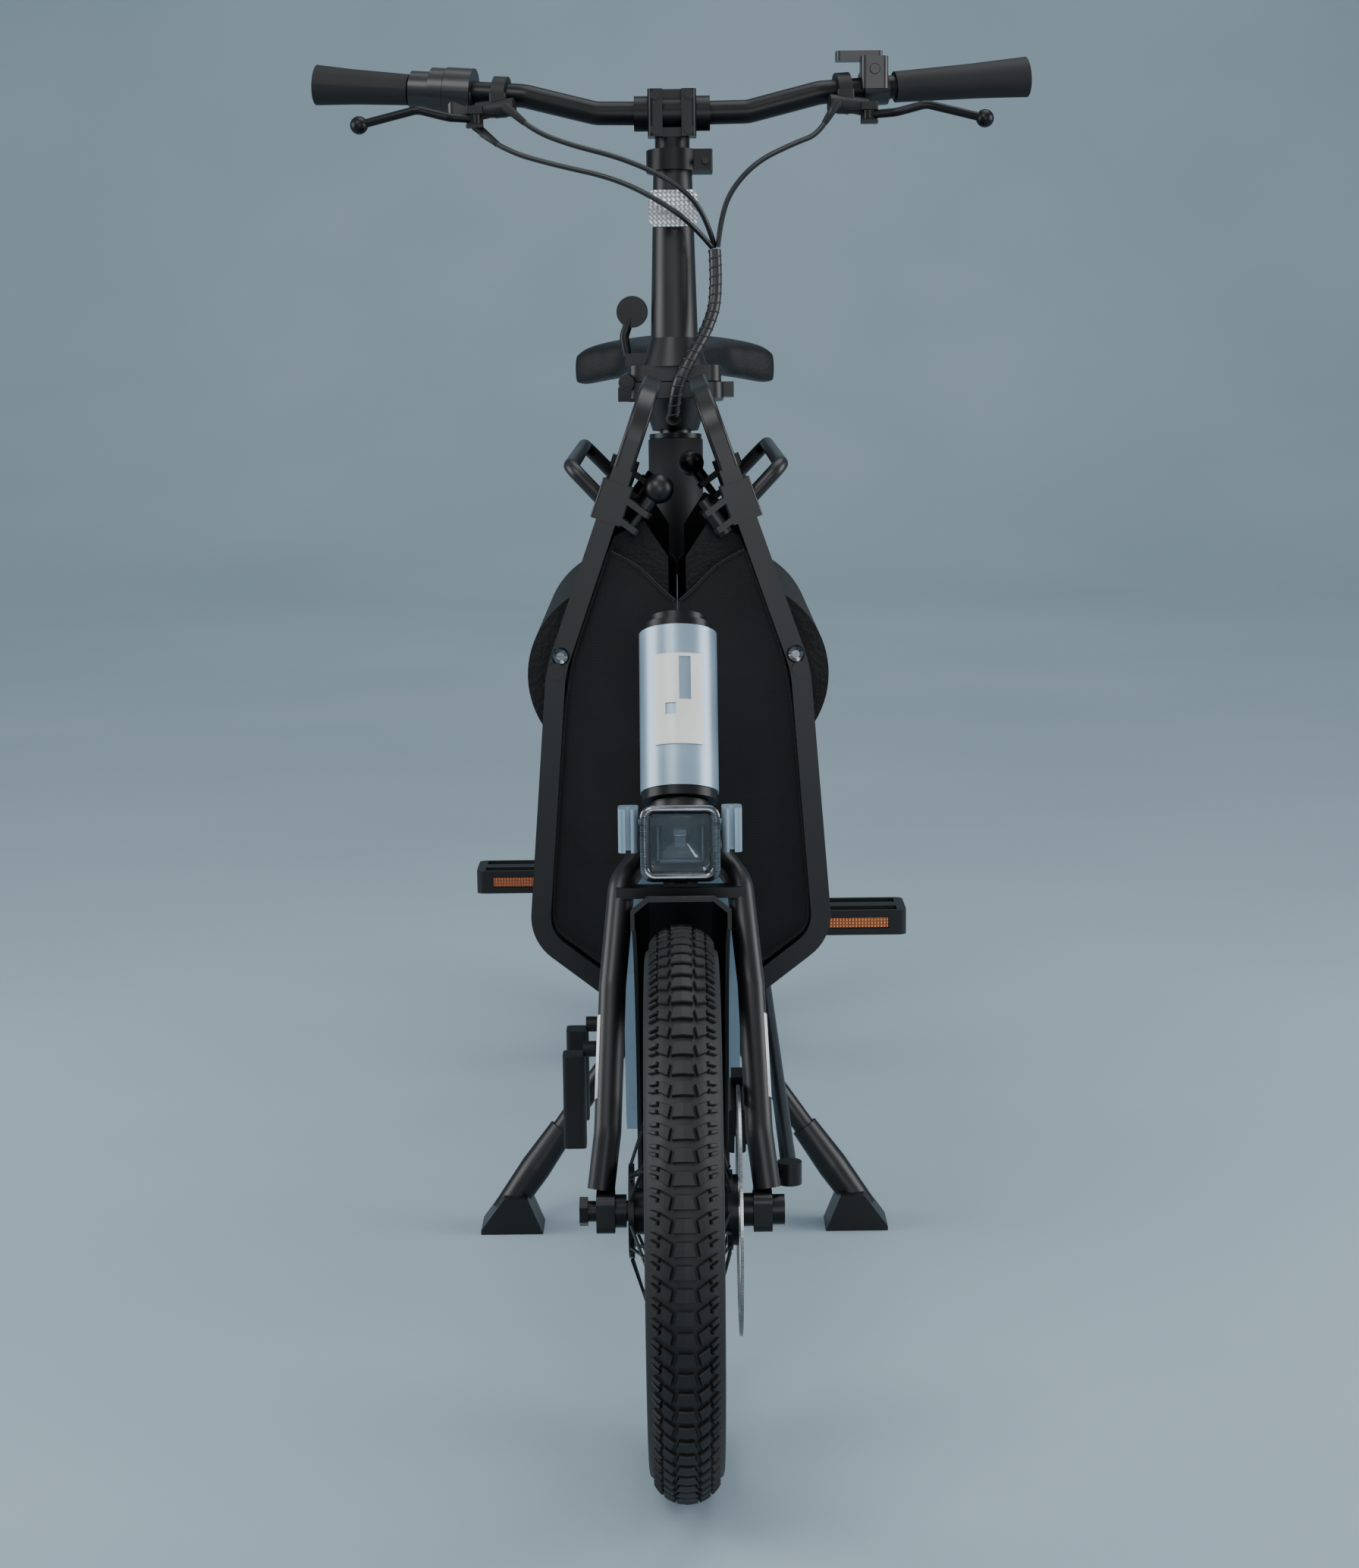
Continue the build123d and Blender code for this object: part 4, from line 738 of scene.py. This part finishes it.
def make_stage(look):
    """A floor swept up into a wall, the sky's light and six area lights."""
    floor = bmesh.new()
    edge = [floor.verts.new((-FLOOR_HALF, -FLOOR_HALF, 0)), floor.verts.new((-FLOOR_HALF, RISE_START, 0))]
    edge += [floor.verts.new((-FLOOR_HALF, RISE_START + RISE_RADIUS * sin(radians(a)),
                              RISE_RADIUS - RISE_RADIUS * cos(radians(a)))) for a in range(6, 91, 6)]
    edge.append(floor.verts.new((-FLOOR_HALF, RISE_START + RISE_RADIUS, WALL_TOP)))
    sides = [floor.edges.new(pair) for pair in zip(edge, edge[1:])]
    swept = bmesh.ops.extrude_edge_only(floor, edges=sides)["geom"]
    far_edge = [g for g in swept if isinstance(g, bmesh.types.BMVert)]
    bmesh.ops.translate(floor, vec=(2 * FLOOR_HALF, 0, 0), verts=far_edge)
    bmesh.ops.recalc_face_normals(floor, faces=floor.faces)
    for face in floor.faces:
        face.smooth = True
    mesh = bpy.data.meshes.new("floor")
    floor.to_mesh(mesh)
    floor.free()
    made = bpy.data.objects.new("floor", mesh)
    ground, tree, place = start("painted studio floor")
    close(tree, {"Specular IOR Level": 0.1},
          {"Base Color": vary(tree, noise(tree, place, 900, 2), look.floor_dark, look.floor_light),
           "Roughness": span(tree, noise(tree, place, 200, 2), 0.85, 0.95)})
    mesh.materials.append(ground)
    bpy.context.scene.collection.objects.link(made)

    world = bpy.data.worlds.new("studio")
    bpy.context.scene.world = world
    world.use_nodes = True
    sky = world.node_tree.nodes["Background"].inputs
    sky["Color"].default_value = linear("#C9D3DA")
    sky["Strength"].default_value = 0.75

    for name, place, aim, size, power in LIGHTS:
        data = bpy.data.lights.new(name, "AREA")
        data.energy = power
        data.size = size
        lamp = bpy.data.objects.new(name, data)
        lamp.location = place
        lamp.visible_camera = False
        lamp.rotation_euler = (Vector(aim) - Vector(place)).to_track_quat("-Z", "Y").to_euler()
        bpy.context.scene.collection.objects.link(lamp)


def make_camera(look):
    data = bpy.data.cameras.new("camera")
    data.lens = look.lens
    data.sensor_width = 36
    data.clip_end = 100
    camera = bpy.data.objects.new("camera", data)
    turn = Matrix.Rotation(radians(90 - look.pitch), 4, "X") @ Matrix.Rotation(radians(look.roll), 4, "Z")
    camera.matrix_world = Matrix.Translation((look.aside, CAMERA_Y, CAMERA_HEIGHT)) @ turn
    bpy.context.scene.collection.objects.link(camera)
    bpy.context.scene.camera = camera


# ================= Add-on =================
class CargoBicycleLook(bpy.types.PropertyGroup):
    """The sizes and colours that change the look of the bicycle."""
    frame_dark: bpy.props.StringProperty(name="Frame, dark", default="#8399AB",
                                         description="Darker shade of the frame's paint")
    frame_light: bpy.props.StringProperty(name="Frame, light", default="#93A9BA",
                                          description="Lighter shade of the frame's paint")
    cloth_dark: bpy.props.StringProperty(name="Cloth, dark", default="#0A0B0C",
                                         description="Darker shade of the basket's cloth")
    cloth_light: bpy.props.StringProperty(name="Cloth, light", default="#101113",
                                          description="Lighter shade of the basket's cloth")
    floor_dark: bpy.props.StringProperty(name="Floor, dark", description="Darker shade of the floor",
                                         default="#93A5B0")
    floor_light: bpy.props.StringProperty(name="Floor, light", description="Lighter shade of the floor",
                                          default="#9AABB6")
    bulge: bpy.props.FloatProperty(name="Cloth bulge", description="How far a panel swells, in millimetres",
                                   default=4.0, min=0, max=12)
    tread: bpy.props.FloatProperty(name="Tread depth", description="Depth of the tread, in millimetres",
                                   default=3.0, min=0.5, max=4)
    lens: bpy.props.FloatProperty(name="Lens", description="Focal length of the camera", default=66.2,
                                  unit="CAMERA")
    pitch: bpy.props.FloatProperty(name="Pitch", description="How far the camera looks down, in degrees",
                                   default=9.33)
    roll: bpy.props.FloatProperty(name="Roll", description="How far the camera leans, in degrees",
                                  default=-0.65)
    aside: bpy.props.FloatProperty(name="Aside", description="The camera's place to the side", default=0.0,
                                   subtype="DISTANCE", unit="LENGTH")


class CARGO_OT_camera(bpy.types.Operator):
    """Place the camera in front of the bicycle"""
    bl_idname = "cargo.camera"
    bl_label = "Camera"

    def execute(self, context):
        make_camera(context.scene.cargo_look)
        return {"FINISHED"}


class CARGO_OT_finishes(bpy.types.Operator):
    """Make the finishes and give them to the metal and plastic parts"""
    bl_idname = "cargo.finishes"
    bl_label = "Finishes"

    def execute(self, context):
        FINISHES.update(make_finishes(context.scene.cargo_look))
        wanted = {node: finish for finish, nodes in CAD_FINISHES.items() for node in nodes}
        for name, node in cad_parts.items():
            for slot in node.material_slots:
                slot.material = FINISHES[wanted.get(name, "powder")]
        return {"FINISHED"}


class CARGO_OT_cords(bpy.types.Operator):
    """Lay the harness, the two brake hoses and the shift cable, with their boots, and a black cover as
    painted shade on the column's top
    """
    bl_idname = "cargo.cords"
    bl_label = "Hoses and cables"

    def execute(self, context):
        make_cords()
        make_boots()
        make_shade_cover()
        return {"FINISHED"}


class CARGO_OT_tyres(bpy.types.Operator):
    """Mould the two tyres with their tread"""
    bl_idname = "cargo.tyres"
    bl_label = "Tyres"

    def execute(self, context):
        depth = context.scene.cargo_look.tread
        make_tyre("front", "front_tyre", "front_wheel", (0, back(0), 207), 207, 84, depth)
        make_tyre("rear", "rear_tyre", "rear_wheel", (0, back(1310), 258), 258, 105, depth)
        return {"FINISHED"}


class CARGO_OT_cloth(bpy.types.Operator):
    """Hang the cloth panels of the basket and sew their edges"""
    bl_idname = "cargo.cloth"
    bl_label = "Basket cloth"

    def execute(self, context):
        make_fabric(context.scene.cargo_look.bulge)
        return {"FINISHED"}


class CARGO_OT_saddle(bpy.types.Operator):
    """Pad the saddle"""
    bl_idname = "cargo.saddle"
    bl_label = "Saddle"

    def execute(self, context):
        make_saddle()
        return {"FINISHED"}


class CARGO_OT_lamp(bpy.types.Operator):
    """Fit the bezel and the optics of the head lamp"""
    bl_idname = "cargo.lamp"
    bl_label = "Head lamp"

    def execute(self, context):
        make_lamp()
        return {"FINISHED"}


class CARGO_OT_small_parts(bpy.types.Operator):
    """Fit the pedal reflectors, the reflective tape and the basket's bolts"""
    bl_idname = "cargo.small_parts"
    bl_label = "Reflectors and bolts"

    def execute(self, context):
        make_reflectors()
        make_bolts()
        return {"FINISHED"}


class CARGO_OT_stage(bpy.types.Operator):
    """Lay the floor and hang the studio lights"""
    bl_idname = "cargo.stage"
    bl_label = "Stage"

    def execute(self, context):
        make_stage(context.scene.cargo_look)
        return {"FINISHED"}


STEPS = (CARGO_OT_camera, CARGO_OT_finishes, CARGO_OT_cords, CARGO_OT_tyres, CARGO_OT_cloth, CARGO_OT_saddle,
         CARGO_OT_lamp, CARGO_OT_small_parts, CARGO_OT_stage)


class CARGO_PT_panel(bpy.types.Panel):
    """The pieces of the cargo bicycle"""
    bl_idname = "CARGO_PT_panel"
    bl_label = "Cargo bicycle"
    bl_space_type = "VIEW_3D"
    bl_region_type = "UI"
    bl_category = "Cargo bicycle"

    def draw(self, context):
        look = context.scene.cargo_look
        for name in ("frame_dark", "frame_light", "cloth_dark", "cloth_light", "floor_dark",
                     "floor_light", "bulge", "tread", "lens", "pitch", "roll", "aside"):
            self.layout.prop(look, name)
        for step in STEPS:
            self.layout.operator(step.bl_idname)


CLASSES = (CargoBicycleLook, *STEPS, CARGO_PT_panel)


def register():
    for made in CLASSES:
        bpy.utils.register_class(made)
    bpy.types.Scene.cargo_look = bpy.props.PointerProperty(type=CargoBicycleLook)


def unregister():
    del bpy.types.Scene.cargo_look
    for made in reversed(CLASSES):
        bpy.utils.unregister_class(made)


def main():
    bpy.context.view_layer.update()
    register()
    bpy.ops.cargo.camera()
    bpy.ops.cargo.finishes()
    bpy.ops.cargo.cords()
    bpy.ops.cargo.tyres()
    bpy.ops.cargo.cloth()
    bpy.ops.cargo.saddle()
    bpy.ops.cargo.lamp()
    bpy.ops.cargo.small_parts()
    bpy.ops.cargo.stage()


if __name__ == "__main__":
    main()
